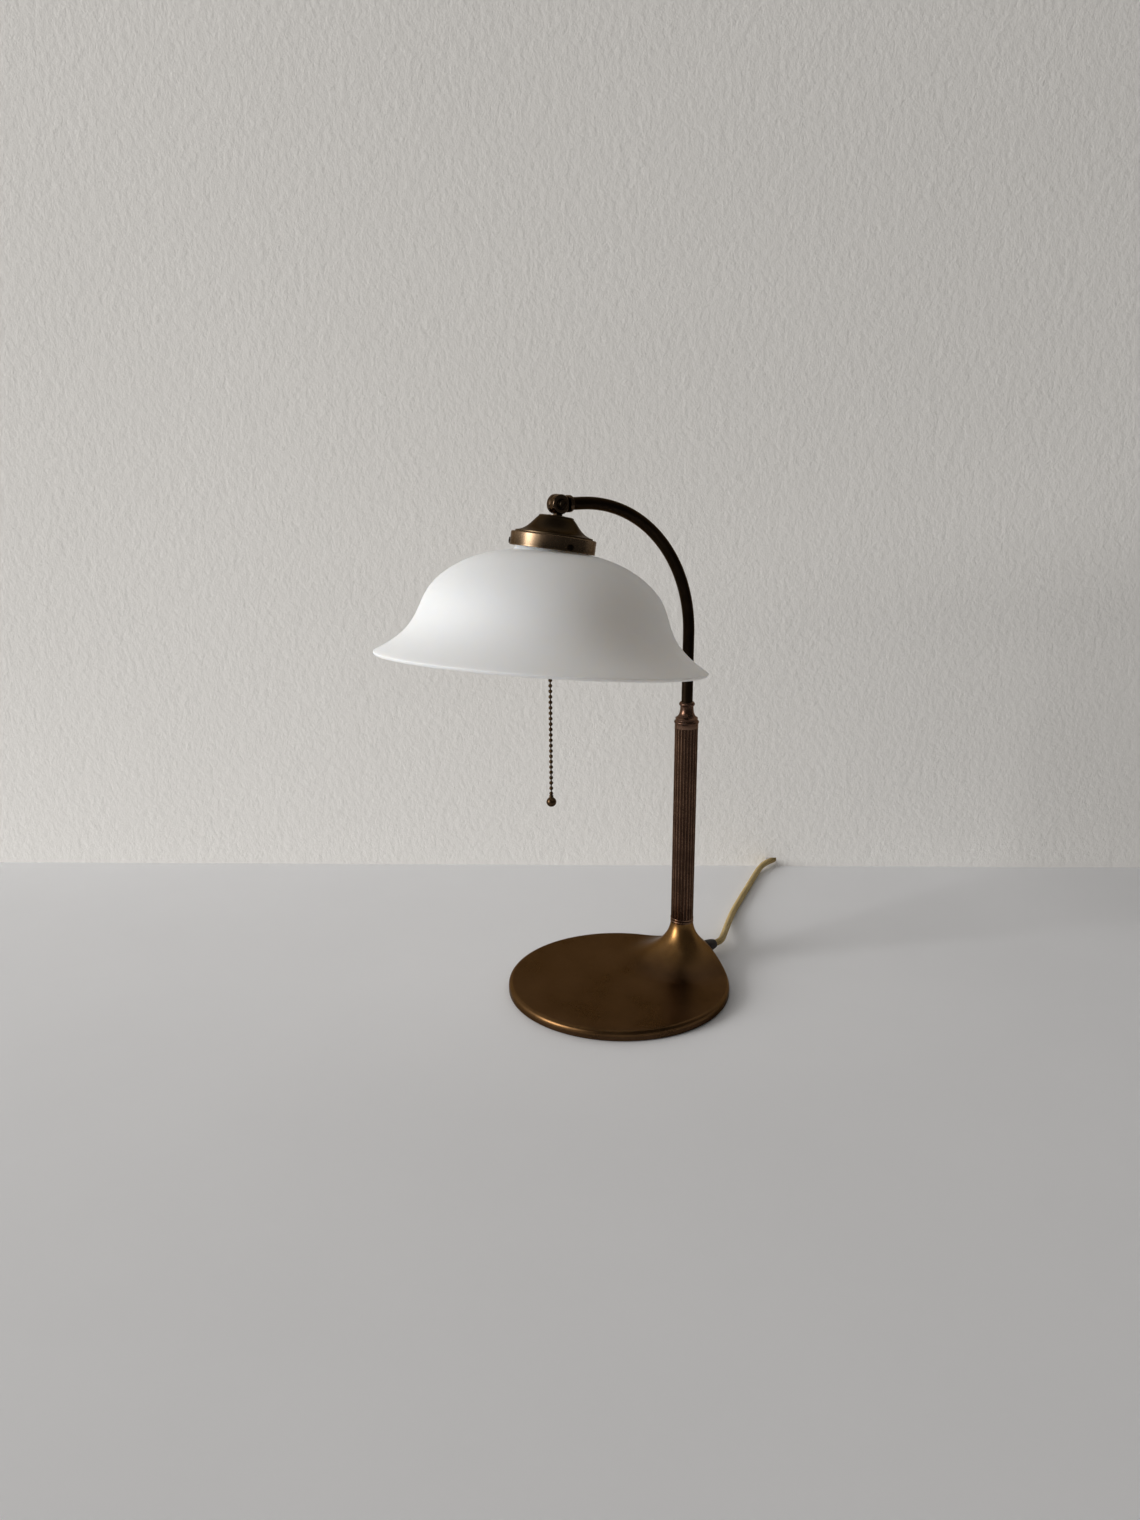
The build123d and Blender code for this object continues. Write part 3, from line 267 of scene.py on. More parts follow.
foot_brass = patina_metal(
    "foot_brass",
    dark=(0.058, 0.031, 0.015),
    light=(0.09, 0.05, 0.025),
    worn=(0.32, 0.172, 0.056),
    smooth=0.25,
    rough=0.33,
)
column_brass = patina_metal(
    "column_brass",
    dark=(0.036, 0.0187, 0.0127),
    light=(0.066, 0.036, 0.024),
    worn=(0.3, 0.18, 0.115),
    smooth=0.2,
    rough=0.28,
    cloud_scale=40.0,
)
dark_brass = patina_metal(
    "dark_brass",
    dark=(0.012, 0.008, 0.005),
    light=(0.022, 0.014, 0.009),
    worn=(0.08, 0.055, 0.035),
    smooth=0.3,
    rough=0.42,
    cloud_scale=40.0,
)
knuckle_brass = patina_metal(
    "knuckle_brass",
    dark=(0.06, 0.04, 0.026),
    light=(0.11, 0.075, 0.048),
    worn=(0.4, 0.3, 0.2),
    smooth=0.14,
    rough=0.2,
    cloud_scale=60.0,
)
gallery_brass = patina_metal(
    "gallery_brass",
    dark=(0.028, 0.02, 0.012),
    light=(0.052, 0.036, 0.023),
    worn=(0.12, 0.085, 0.05),
    smooth=0.3,
    rough=0.4,
    cloud_scale=30.0,
)
collar_brass = patina_metal(
    "collar_brass",
    dark=(0.09, 0.05, 0.034),
    light=(0.15, 0.085, 0.06),
    worn=(0.26, 0.16, 0.11),
    smooth=0.18,
    rough=0.28,
    cloud_scale=60.0,
)
ring_brass = patina_metal(
    "ring_brass",
    dark=(0.07, 0.048, 0.03),
    light=(0.105, 0.074, 0.048),
    worn=(0.24, 0.165, 0.105),
    smooth=0.22,
    rough=0.29,
    cloud_scale=30.0,
)
chain_brass = patina_metal(
    "chain_brass",
    dark=(0.05, 0.03, 0.016),
    light=(0.09, 0.056, 0.03),
    worn=(0.2, 0.13, 0.07),
    smooth=0.24,
    rough=0.34,
    cloud_scale=90.0,
)
hidden_brass = patina_metal(
    "hidden_brass",
    dark=(0.3, 0.2, 0.08),
    light=(0.42, 0.29, 0.13),
    worn=(0.6, 0.45, 0.22),
    smooth=0.25,
    rough=0.38,
    cloud_scale=40.0,
)
nickel = grained(
    "nickel",
    dark=(0.6, 0.59, 0.56),
    light=(0.72, 0.71, 0.68),
    scale=700.0,
    rough=0.22,
    relief=0.04,
    depth=0.00005,
    metallic=1.0,
)
steel = grained(
    "steel",
    dark=(0.4, 0.39, 0.37),
    light=(0.52, 0.51, 0.49),
    scale=500.0,
    rough=0.36,
    relief=0.08,
    depth=0.00005,
    metallic=1.0,
)
iron = grained(
    "cast_iron",
    dark=(0.025, 0.025, 0.025),
    light=(0.06, 0.058, 0.055),
    scale=350.0,
    rough=0.75,
    relief=0.5,
    depth=0.0004,
)
felt = grained(
    "felt",
    dark=(0.03, 0.075, 0.045),
    light=(0.055, 0.12, 0.07),
    scale=1200.0,
    rough=0.95,
    relief=0.7,
    depth=0.0004,
)
porcelain = grained(
    "porcelain",
    dark=(0.78, 0.77, 0.73),
    light=(0.86, 0.85, 0.81),
    scale=120.0,
    rough=0.16,
    relief=0.03,
    depth=0.0001,
)
bakelite = grained(
    "dark_plastic",
    dark=(0.011, 0.009, 0.008),
    light=(0.025, 0.02, 0.016),
    scale=260.0,
    rough=0.32,
    relief=0.05,
    depth=0.00008,
)
gland_brown = grained(
    "gland_brown",
    dark=(0.014, 0.007, 0.005),
    light=(0.026, 0.014, 0.01),
    scale=260.0,
    rough=0.62,
    relief=0.1,
    depth=0.0001,
)
rubber = grained(
    "lead_sleeve",
    dark=(0.02, 0.02, 0.02),
    light=(0.035, 0.034, 0.032),
    scale=600.0,
    rough=0.6,
    relief=0.1,
    depth=0.0001,
)
strap = grained(
    "tie_strap",
    dark=(0.015, 0.015, 0.015),
    light=(0.04, 0.04, 0.04),
    scale=1500.0,
    rough=0.85,
    relief=0.6,
    depth=0.0003,
)


def opal_glass():
    """White cased glass: faint clouds and ripples, a soft gloss and light that sinks in."""
    material, tree, shader = new_material("opal_glass")
    place = object_coords(tree)
    clouds = noise(tree, place, 9.0, 4.0)
    ripple = noise(tree, stretched(tree, place, (1.0, 1.0, 2.2)), 26.0, 2.0)
    tint = blend_colour(tree, spread(tree, clouds, 0.3, 0.7, 0, 1), (0.93, 0.905, 0.87), (0.96, 0.94, 0.91))
    join(tree, tint, shader.inputs["Base Color"])
    join(tree, spread(tree, clouds, 0.3, 0.7, 0.6, 0.68), shader.inputs["Roughness"])
    shader.inputs["IOR"].default_value = 1.5
    shader.inputs["Subsurface Weight"].default_value = 1.0
    shader.inputs["Subsurface Radius"].default_value = (1.0, 0.85, 0.7)
    shader.inputs["Subsurface Scale"].default_value = 0.015
    join(tree, bump(tree, ripple, 0.05, 0.0012), shader.inputs["Normal"])
    return material


def frosted_glass():
    """The lamp's frosted globe."""
    material, tree, shader = new_material("bulb_glass")
    place = object_coords(tree)
    frost = noise(tree, place, 1400.0, 3.0)
    tint = blend_colour(tree, spread(tree, frost, 0.35, 0.65, 0, 1), (0.86, 0.855, 0.84), (0.92, 0.915, 0.9))
    join(tree, tint, shader.inputs["Base Color"])
    join(tree, spread(tree, frost, 0.3, 0.7, 0.34, 0.46), shader.inputs["Roughness"])
    shader.inputs["Subsurface Weight"].default_value = 0.4
    shader.inputs["Subsurface Radius"].default_value = (1.0, 0.95, 0.9)
    shader.inputs["Subsurface Scale"].default_value = 0.01
    join(tree, bump(tree, frost, 0.05, 0.00005), shader.inputs["Normal"])
    return material


def braided_cotton():
    """Two sets of yarns that cross round the cord, from the tube's own (turn, length) coordinates, with
    painted shade in the low gaps between the yarns.
    """
    material, tree, shader = new_material("cord_braid")
    coords = tree.nodes.new("ShaderNodeUVMap")
    coords.uv_map = "UVMap"
    split = tree.nodes.new("ShaderNodeSeparateXYZ")
    join(tree, coords.outputs["UV"], split.inputs[0])
    yarns_round = 9.0
    lay_length = 1.25
    yarn_step = 2 * pi * cord_radius / yarns_round
    turn = maths(tree, "MULTIPLY", split.outputs["X"], yarns_round)
    length = maths(tree, "DIVIDE", split.outputs["Y"], yarn_step * lay_length)
    left_lay = maths(tree, "ADD", turn, length)
    right_lay = maths(tree, "SUBTRACT", turn, length)
    checks = maths(tree, "ADD", maths(tree, "FLOOR", left_lay), maths(tree, "FLOOR", right_lay))
    over = maths(tree, "FLOORED_MODULO", checks, 2.0)

    def crown(lay):
        side = maths(tree, "SUBTRACT", maths(tree, "FRACT", lay), 0.5)
        return maths(tree, "MULTIPLY_ADD", maths(tree, "MULTIPLY", side, side), -4.0, 1.0)

    left_crown = maths(tree, "MULTIPLY", crown(left_lay), maths(tree, "MULTIPLY_ADD", over, 0.7, 0.3))
    right_crown = maths(tree, "MULTIPLY", crown(right_lay), maths(tree, "MULTIPLY_ADD", over, -0.7, 1.0))
    yarn = maths(tree, "MAXIMUM", left_crown, right_crown)
    place = object_coords(tree)
    fuzz = noise(tree, place, 2600.0, 3.0)
    fade = noise(tree, place, 45.0, 4.0)
    faded = spread(tree, fade, 0.35, 0.65, 0, 1)
    base = blend_colour(tree, faded, (0.5, 0.345, 0.11), (0.64, 0.465, 0.175))
    # Painted shade: the colour turns deep brown where the yarn surface is low, in the gaps and where a yarn
    # dips under the other.
    yarn_with_painted_gap_shade = blend_colour(tree, spread(tree, yarn, 0.15, 0.7, 0, 1), (0.13, 0.09, 0.034), base)
    flecked = blend_colour(tree, maths(tree, "MULTIPLY", over, 0.28), yarn_with_painted_gap_shade, (0.72, 0.54, 0.23))
    crowned = spread(tree, yarn, 0.1, 0.5, 0, 1)
    join(tree, blend_colour(tree, crowned, yarn_with_painted_gap_shade, flecked), shader.inputs["Base Color"])
    join(tree, spread(tree, fuzz, 0.3, 0.7, 0.7, 0.9), shader.inputs["Roughness"])
    shader.inputs["Sheen Weight"].default_value = 0.1
    shader.inputs["Sheen Roughness"].default_value = 0.5
    relief = maths(tree, "MULTIPLY_ADD", fuzz, 0.25, yarn)
    join(tree, bump(tree, relief, 0.7, 0.0005), shader.inputs["Normal"])
    return material


opal = opal_glass()
frosted = frosted_glass()
braid = braided_cotton()


# Mesh makers
def make_object(name, points, faces, material, uvs=None, edge=None, sharp_angle=38.0):
    """A smooth mesh object with its edge-wear values and, if given, one (u, v) for each face corner."""
    mesh = bpy.data.meshes.new(name)
    mesh.from_pydata([tuple(point) for point in points], [], faces)
    mesh.polygons.foreach_set("use_smooth", [True] * len(mesh.polygons))
    mesh.set_sharp_from_angle(angle=radians(sharp_angle))
    wear = mesh.attributes.new("edge", "FLOAT", "POINT")
    wear.data.foreach_set("value", edge if edge else [0.0] * len(points))
    if uvs:
        layer = mesh.uv_layers.new(name="UVMap")
        for polygon in mesh.polygons:
            for loop, uv in zip(polygon.loop_indices, uvs[polygon.index]):
                layer.data[loop].uv = uv
    mesh.materials.append(material)
    piece = bpy.data.objects.new(name, mesh)
    bpy.context.scene.collection.objects.link(piece)
    return piece


def curve_points(controls, steps):
    """Points along a cubic Bezier curve."""
    points = []
    for step in range(steps + 1):
        t = step / steps
        s = 1 - t
        weights = (s**3, 3 * s * s * t, 3 * s * t * t, t**3)
        points.append((
            sum(weight * control[0] for weight, control in zip(weights, controls)),
            sum(weight * control[1] for weight, control in zip(weights, controls)),
        ))
    return points


def rounded(corners, size):
    """Round every corner of a closed outline; the rounding points carry the edge wear of outer corners."""
    steps = 4
    straight_below = radians(20)
    side_share = 0.4
    outline = []
    wear = []
    count = len(corners)
    for index in range(count):
        before = Vector(corners[index - 1])
        here = Vector(corners[index])
        after = Vector(corners[(index + 1) % count])
        into = here - before
        out = after - here
        bend = into.x * out.y - into.y * out.x
        turn = abs(into.angle(out, 0.0))
        reach = min(size, side_share * into.length, side_share * out.length)
        if turn < straight_below:
            outline.append(tuple(here))
            wear.append(0.0)
            continue
        start = here - into.normalized() * reach
        end = here + out.normalized() * reach
        for step in range(steps + 1):
            t = step / steps
            point = start * (1 - t) ** 2 + here * 2 * t * (1 - t) + end * t * t
            outline.append(tuple(point))
            wear.append(1.0 if bend > 0 else 0.0)
    return outline, wear


def signed_area(outline):
    return sum(a[0] * b[1] - b[0] * a[1] for a, b in zip(outline, outline[1:] + outline[:1])) / 2


def ring_points(place, radius, height, sides):
    """Points of a circle about the Z axis of a place."""
    turns = [2 * pi * side / sides for side in range(sides)]
    return [place @ Vector((radius * cos(turn), radius * sin(turn), height)) for turn in turns]


def lathe(name, corners, place, material, sides=96, rounding=0.0003, sharp_angle=38.0):
    """A ring turned from a closed outline of (radius, height) corners about the Z axis of its place."""
    corners = list(corners)
    if signed_area(corners) < 0:
        corners.reverse()
    outline, wear = rounded(corners, rounding)
    count = len(outline)
    points = []
    edge = []
    for (radius, height), value in zip(outline, wear):
        points.extend(ring_points(place, radius, height, sides))
        edge.extend([value] * sides)
    faces = []
    for row in range(count):
        lower = row * sides
        upper = ((row + 1) % count) * sides
        for side in range(sides):
            following = (side + 1) % sides
            faces.append((lower + side, lower + following, upper + following, upper + side))
    return make_object(name, points, faces, material, edge=edge, sharp_angle=sharp_angle)


def lathe_solid(name, outline, place, material, sides):
    """A solid of revolution from an open outline that starts and ends on the axis."""
    points = [place @ Vector((0, 0, outline[0][1]))]
    for radius, height in outline[1:-1]:
        points.extend(ring_points(place, radius, height, sides))
    points.append(place @ Vector((0, 0, outline[-1][1])))
    last = len(points) - 1
    rows = len(outline) - 2
    faces = []
    for side in range(sides):
        following = (side + 1) % sides
        faces.append((0, 1 + side, 1 + following))
        for row in range(rows - 1):
            upper = 1 + row * sides
            lower = upper + sides
            faces.append((upper + side, lower + side, lower + following, upper + following))
        base = 1 + (rows - 1) * sides
        faces.append((base + side, last, base + following))
    return make_object(name, points, faces, material, sharp_angle=60.0)


def tube_mesh(name, path, radius, material, sides):
    """A capped tube along a path, with (turn, length) coordinates."""
    normal = (path[1] - path[0]).orthogonal().normalized()
    points = []
    lengths = [0.0]
    for index, here in enumerate(path):
        before = path[max(index - 1, 0)]
        after = path[min(index + 1, len(path) - 1)]
        tangent = (after - before).normalized()
        normal = (normal - tangent * normal.dot(tangent)).normalized()
        across = tangent.cross(normal)
        if index:
            lengths.append(lengths[-1] + (here - before).length)
        for side in range(sides):
            angle = 2 * pi * side / sides
            points.append(here + normal * (radius * cos(angle)) + across * (radius * sin(angle)))
    faces = []
    uvs = []
    for row in range(len(path) - 1):
        for side in range(sides):
            following = (side + 1) % sides
            faces.append((
                row * sides + side,
                row * sides + following,
                (row + 1) * sides + following,
                (row + 1) * sides + side,
            ))
            low = side / sides
            high = (side + 1) / sides
            near = lengths[row]
            far = lengths[row + 1]
            uvs.append([(low, near), (high, near), (high, far), (low, far)])
    last = (len(path) - 1) * sides
    faces.append(tuple(reversed(range(sides))))
    faces.append(tuple(range(last, last + sides)))
    uvs.append([(0, 0)] * sides)
    uvs.append([(0, lengths[-1])] * sides)
    return make_object(name, points, faces, material, uvs=uvs, sharp_angle=50.0)


def band(before, after):
    """Faces between two closed rows of points, given by their numbers."""
    return [
        (before[side - 1], after[side - 1], after[side], before[side])
        for side in range(len(before))
    ]


def finer_copy(node, material, round_edges):
    """A copy of a CAD piece with its seams welded, its edges rounded and smooth shading."""
    weld_distance = 0.000002
    rounded_angle = radians(40)
    sharp_angle = radians(32)
    mesh = frame["nodes"][node].data.copy()
    piece = bpy.data.objects.new(node + "_finish", mesh)
    bpy.context.scene.collection.objects.link(piece)
    mesh.materials.clear()
    mesh.materials.append(material)
    weld = piece.modifiers.new("weld", "WELD")
    weld.merge_threshold = weld_distance
    soften = piece.modifiers.new("soften", "BEVEL")
    soften.width = round_edges
    soften.segments = 2
    soften.limit_method = "ANGLE"
    soften.angle_limit = rounded_angle
    soften.use_clamp_overlap = True
    bpy.context.view_layer.update()
    baked = bpy.data.meshes.new_from_object(piece.evaluated_get(bpy.context.evaluated_depsgraph_get()))
    piece.modifiers.clear()
    piece.data = baked
    baked.polygons.foreach_set("use_smooth", [True] * len(baked.polygons))
    baked.set_sharp_from_angle(angle=sharp_angle)
    baked.attributes.new("edge", "FLOAT", "POINT")
    return piece


def settle(piece, body, slot, *nodes):
    """A piece rides its body and stands for its CAD pieces, which are hidden; the slot argument is not used.
    """
    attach(piece, body)
    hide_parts(*nodes)


# Cord: the free run, the coil behind the wall and the tail to the plug, on one smooth line
coil_pitch = 0.007
coil_outer_radius = 0.048
coil_turns = 3
coil_lift = 0.0013
coil_low = cord_radius + coil_lift
coil_high = coil_low + coil_pitch
coil_start = Vector((0.395, 0.188, 0))
coil_heading = radians(34.0)
forward = Vector((cos(coil_heading), sin(coil_heading), 0))
inward = Vector((sin(coil_heading), -cos(coil_heading), 0))
cord_clearance = 0.0001
cord_rest = cord_radius + cord_clearance
points_per_half_turn = 12


def coil_place(across, along, height):
    return coil_start + inward * across + forward * along + Vector((0, 0, height))


def coil_points():
    """Half turns that spiral in on the table, climb, and spiral out on top."""
    radii = [coil_outer_radius - coil_pitch / 2 * step for step in range(2 * coil_turns + 1)]
    radii += radii[-2:0:-1]
    climb = 2 * coil_turns
    points = []
    here = 0.0
    side = 1
    for index, radius in enumerate(radii):
        middle = here + side * radius
        low = coil_low if index <= climb else coil_high
        high = coil_low if index < climb else coil_high
        for step in range(points_per_half_turn):
            share = (step + 0.5) / points_per_half_turn
            height = low + (high - low) * (1 - cos(pi * share)) / 2
            points.append(coil_place(
                middle - side * radius * cos(pi * share),
                side * radius * sin(pi * share),
                height,
            ))
        here += side * 2 * radius
        side = -side
    return points


def smooth_line(controls):
    """Points along the smooth curve of these control points, from the first to the last."""
    line_data = bpy.data.curves.new("cord_line", "CURVE")
    line_data.dimensions = "3D"
    line_data.resolution_u = 4
    spline = line_data.splines.new("NURBS")
    spline.points.add(len(controls) - 1)
    for spot, control in zip(spline.points, controls):
        spot.co = (*control, 1)
    spline.order_u = 3
    spline.use_endpoint_u = True
    line = bpy.data.objects.new("cord_line", line_data)
    bpy.context.scene.collection.objects.link(line)
    bpy.context.view_layer.update()
    line_mesh = bpy.data.meshes.new_from_object(line)
    points = [vertex.co.copy() for vertex in line_mesh.vertices]
    bpy.data.objects.remove(line)
    bpy.data.meshes.remove(line_mesh)
    return points


plug_height = 0.0068
route = [
    Vector((gland_end, 0, gland_height)),
    Vector((gland_end + 0.0085, 0, gland_height)),
    Vector((gland_end + 0.0225, 0.011, gland_height - 0.0016)),
    Vector((gland_end + 0.0425, 0.028, gland_height - 0.0048)),
    Vector((0.180, 0.0445, cord_rest + 0.0009)),
    Vector((0.202, 0.0613, cord_rest)),
    Vector((0.2427, 0.0882, cord_rest)),
    Vector((0.2767, 0.1106, cord_rest)),
    Vector((0.302, 0.1272, cord_rest + 0.0002)),
    Vector((0.314, 0.1332, cord_rest + 0.0019)),
    Vector((0.326, 0.1362, cord_rest + 0.0033)),
    Vector((0.340, 0.1384, cord_rest + 0.0027)),
    Vector((0.354, 0.1475, cord_rest + 0.0017)),
    Vector((0.3645, 0.161, cord_rest + 0.0012)),
    coil_place(0, -0.028, coil_low),
    coil_place(0, -0.0065, coil_low),
]
tail = [
    coil_place(0, 0.0065, coil_high),
    coil_place(0, 0.018, coil_high),
    coil_place(-0.003, 0.031, coil_high - 0.0014),
    coil_place(-0.009, 0.046, plug_height + 0.0008),
    coil_place(-0.020, 0.058, plug_height),
    coil_place(-0.034, 0.066, plug_height),
    coil_place(-0.048, 0.070, plug_height),
]
cord_path = smooth_line(route + coil_points() + tail)
cord = tube_mesh("cord", cord_path, cord_radius, braid, 16)
settle(cord, "stand", "cord_braid", "cord_run", "cord_coil", "cord_tail")
plug = finer_copy("plug_body", bakelite, 0.0012)
settle(plug, "stand", "dark_plastic", "plug_body")
pins = finer_copy("plug_pins", nickel, 0.0006)
settle(pins, "stand", "nickel", "plug_pins")
tie = finer_copy("cord_tie", strap, 0.0002)
settle(tie, "stand", "tie_strap", "cord_tie")

# Foot: strips from the stem out to the round edge, over the rolled rim and down the wall
horn_waist_radius = 0.012
horn_waist_drop = 0.020
horn_toe_radius = 0.036
foot_round = 0.0042
toe_height = 0.0008
toe_inset = 0.001
toe_round_in = 0.0003
toe_round_up = 0.0002
rim_wear = 0.25
toe_wear = 0.2
rubbed_from = 0.0115
rubbed_rise = 0.019
horn_steps = 200

# Distance from the stem and height of the horn, from its top out to the flat of the foot
horn = curve_points((
    (column_radius, horn_height),
    (horn_waist_radius, horn_height - horn_waist_drop),
    (horn_toe_radius, foot_rim_height),
    (horn_spread, foot_rim_height),
), horn_steps)


def horn_at(distance):
    """Height and slope of the foot's top at a distance from the stem."""
    for (r0, z0), (r1, z1) in zip(horn, horn[1:]):
        if distance <= r1:
            slope = (z1 - z0) / (r1 - r0)
            return z0 + slope * (distance - r0), slope
    return foot_rim_height, 0.0


def foot_strip(angle):
    """Points at one angle, from the horn's top to the toe: distance from the stem, height and wear."""
    rows = 96
    crowding = 1.9
    rim_steps = 6
    reach = -stem_x * cos(angle) + sqrt(foot_radius**2 - (stem_x * sin(angle)) ** 2)
    stop = reach - foot_round
    strip = []
    for row in range(rows + 1):
        share = (row / rows) ** crowding
        distance = column_radius + (stop - column_radius) * share
        level = horn_at(distance)[0]
        strip.append((distance, level, min(max((level - rubbed_from) / rubbed_rise, 0.0), 1.0)))
    height, slope = horn_at(stop)
    corner = height + slope * foot_round
    for step in range(1, rim_steps + 1):
        t = step / rim_steps
        distance = stop * (1 - t) ** 2 + reach * (2 * t * (1 - t) + t * t)
        level = height * (1 - t) ** 2 + corner * 2 * t * (1 - t) + (corner - foot_round) * t * t
        strip.append((distance, level, rim_wear))
    low = foot_lift + toe_height
    for step in range(1, rim_steps + 1):
        strip.append((reach, corner - foot_round + (low - corner + foot_round) * step / rim_steps, 0.0))
    strip.append((reach - toe_round_in, foot_lift + toe_round_up, toe_wear))
    strip.append((reach - toe_inset, foot_lift, 0.0))
    return strip


def make_foot():
    """One closed mesh: strips from the stem out over the rim and down the wall, and the underside."""
    sides = 192
    inner_radius = foot_radius - foot_side_wall
    ceiling = foot_rim_height - foot_wall
    angles = [2 * pi * side / sides for side in range(sides)]
    strips = [foot_strip(angle) for angle in angles]
    per_strip = len(strips[0])
    points = []
    edge = []
    for angle, strip in zip(angles, strips):
        for distance, height, wear in strip:
            points.append((stem_x + distance * cos(angle), distance * sin(angle), height))
            edge.append(wear)
    faces = []
    for side in range(sides):
        here = side * per_strip
        there = ((side + 1) % sides) * per_strip
        for row in range(per_strip - 1):
            faces.append((here + row, here + row + 1, there + row + 1, there + row))
    # Underside: a flat ring, the hollow that holds the weight, the pockets under the stem and the tube's hole
    before = [side * per_strip + per_strip - 1 for side in range(sides)]
    for radius, height, round_stem in (
        (inner_radius, foot_lift, False),
        (inner_radius, ceiling, False),
        (pocket_radius, ceiling, True),
        (pocket_radius, pocket_top, True),
        (nut_pocket_radius, pocket_top, True),
        (nut_pocket_radius, nut_pocket_top, True),
        (tube_hole, nut_pocket_top, True),
        (tube_hole, horn_height, True),
    ):
        ring = [len(points) + side for side in range(sides)]
        for angle, strip in zip(angles, strips):
            if round_stem:
                points.append((stem_x + radius * cos(angle), radius * sin(angle), height))
            else:
                toe = strip[-1][0]
                turn = atan2(toe * sin(angle), stem_x + toe * cos(angle))
                points.append((radius * cos(turn), radius * sin(turn), height))
            edge.append(0.0)
        faces.extend(band(before, ring))
        before = ring
    faces.extend(band(before, [side * per_strip for side in range(sides)]))
    return make_object("foot", points, faces, foot_brass, edge=edge, sharp_angle=50.0)


settle(make_foot(), "stand", "aged_brass", "foot_shell")

# Column: grooved ring, fluted shaft and turned collar
ring_middle = (horn_height + column_bottom) / 2
foot_ring_radius = 0.0107
groove_radius = 0.0102
groove_half = 0.0005
foot_ring = lathe("column_ring", [
    (column_bore, horn_height),
    (foot_ring_radius, horn_height),
    (foot_ring_radius, ring_middle - groove_half),
    (groove_radius, ring_middle),
    (foot_ring_radius, ring_middle + groove_half),
    (foot_ring_radius, column_bottom),
    (column_bore, column_bottom),
], stem_place, column_brass)
settle(foot_ring, "stand", "aged_brass", "column_foot_ring")

flute_count = 22
flute_radius = 0.00125
flute_depth = 0.0007
rib_wear = 0.75


def flute_outline():
    """Outline of the shaft as (radius, angle) points, and the wear of each: the ribs are rubbed."""
    flute_middle = column_radius + flute_radius - flute_depth
    chord_place = (flute_middle**2 + flute_radius**2 - column_radius**2) / (2 * flute_middle)
    half_chord = sqrt(flute_radius**2 - chord_place**2)
    half_open = asin(half_chord / column_radius)
    sweep = asin(half_chord / flute_radius)
    land = 2 * pi / flute_count - 2 * half_open
    steps = 10
    outline = []
    wear = []
    for flute in range(flute_count):
        middle = 2 * pi * flute / flute_count
        for step in range(steps + 1):
            bend = sweep * (2 * step / steps - 1)
            across = flute_radius * sin(bend)
            inside = flute_middle - flute_radius * cos(bend)
            outline.append((hypot(across, inside), middle + atan2(across, inside)))
            wear.append(rib_wear if step in (0, steps) else 0.0)
        for share in (0.33, 0.67):
            outline.append((column_radius, middle + half_open + land * share))
            wear.append(rib_wear)
    return outline, wear


def make_column():
    """One closed mesh: the fluted shaft, its ends and its bore."""
    rows = 24
    outline, wear = flute_outline()
    heights = [column_bottom + (column_top - column_bottom) * row / rows for row in range(rows + 1)]
    bored = [(column_bore, angle) for _, angle in outline]
    rings = [(outline, height) for height in heights] + [(bored, column_top), (bored, column_bottom)]
    count = len(outline)
    points = []
    edge = []
    for ring, height in rings:
        for (radius, angle), value in zip(ring, wear):
            points.append((stem_x + radius * cos(angle), radius * sin(angle), height))
            edge.append(value if ring is outline else 0.0)
    faces = []
    for row in range(len(rings)):
        lower = [row * count + side for side in range(count)]
        upper = [(row + 1) % len(rings) * count + side for side in range(count)]
        faces.extend(band(upper, lower))
    return make_object("column", points, faces, column_brass, edge=edge, sharp_angle=30.0)


settle(make_column(), "stand", "column_brass", "fluted_column")

collar_height = collar_top - column_top
band_radius = 0.0105
bead_bulge = 0.0007
bead_steps = 8
cove_radius = 0.0099
cove_edge_radius = 0.0102
collar_neck_radius = 0.0059
lip_bulge = 0.0012
lip_steps = 10
band_top = column_top + collar_height * 0.17
bead_top = column_top + collar_height * 0.28
neck_foot = column_top + collar_height * 0.4
neck_end = column_top + collar_height * 0.83
cove_bottom = bead_top + 0.0005
cove_top = neck_foot - 0.0008
cove_edge = neck_foot - 0.0004
bead = [
    (
        band_radius + bead_bulge * sin(pi * step / bead_steps),
        band_top + (bead_top - band_top) * step / bead_steps,
    )
    for step in range(bead_steps + 1)
]
hollow = curve_points((
    (0.0094, neck_foot),
    (0.0067, neck_foot + 0.0016),
    (collar_neck_radius, (neck_foot + neck_end) / 2),
    (collar_neck_radius, neck_end),
), 16)
lip = [
    (
        collar_neck_radius + lip_bulge * sin(pi * step / lip_steps),
        neck_end + (collar_top - neck_end) * step / lip_steps,
    )
    for step in range(lip_steps + 1)
]
collar = lathe("collar", [
    (tube_hole, column_top),
    (band_radius, column_top),
    *bead,
    (cove_radius, cove_bottom),
    (cove_radius, cove_top),
    (cove_edge_radius, cove_edge),
    *hollow,
    *lip[1:],
    (tube_hole, collar_top),
], stem_place, collar_brass, rounding=0.0002)
settle(collar, "stand", "aged_brass", "column_collar")

# Arm: one bent tube
bend_bottom = arm_height - arm_bend_radius
bend_x = stem_x - arm_bend_radius
straight_steps = 8
bend_steps = 64
arm_path = []
for step in range(straight_steps):
    arm_path.append(Vector((stem_x, 0, arm_bottom + (bend_bottom - arm_bottom) * step / straight_steps)))
for step in range(bend_steps + 1):
    angle = pi / 2 * step / bend_steps
    arm_path.append(Vector((
        bend_x + arm_bend_radius * cos(angle),
        0,
        bend_bottom + arm_bend_radius * sin(angle),
    )))
arm_path.append(Vector((arm_end_x, 0, arm_height)))
settle(tube_mesh("arm", arm_path, tube_radius, dark_brass, 40), "stand", "dark_brass", "arm_tube")

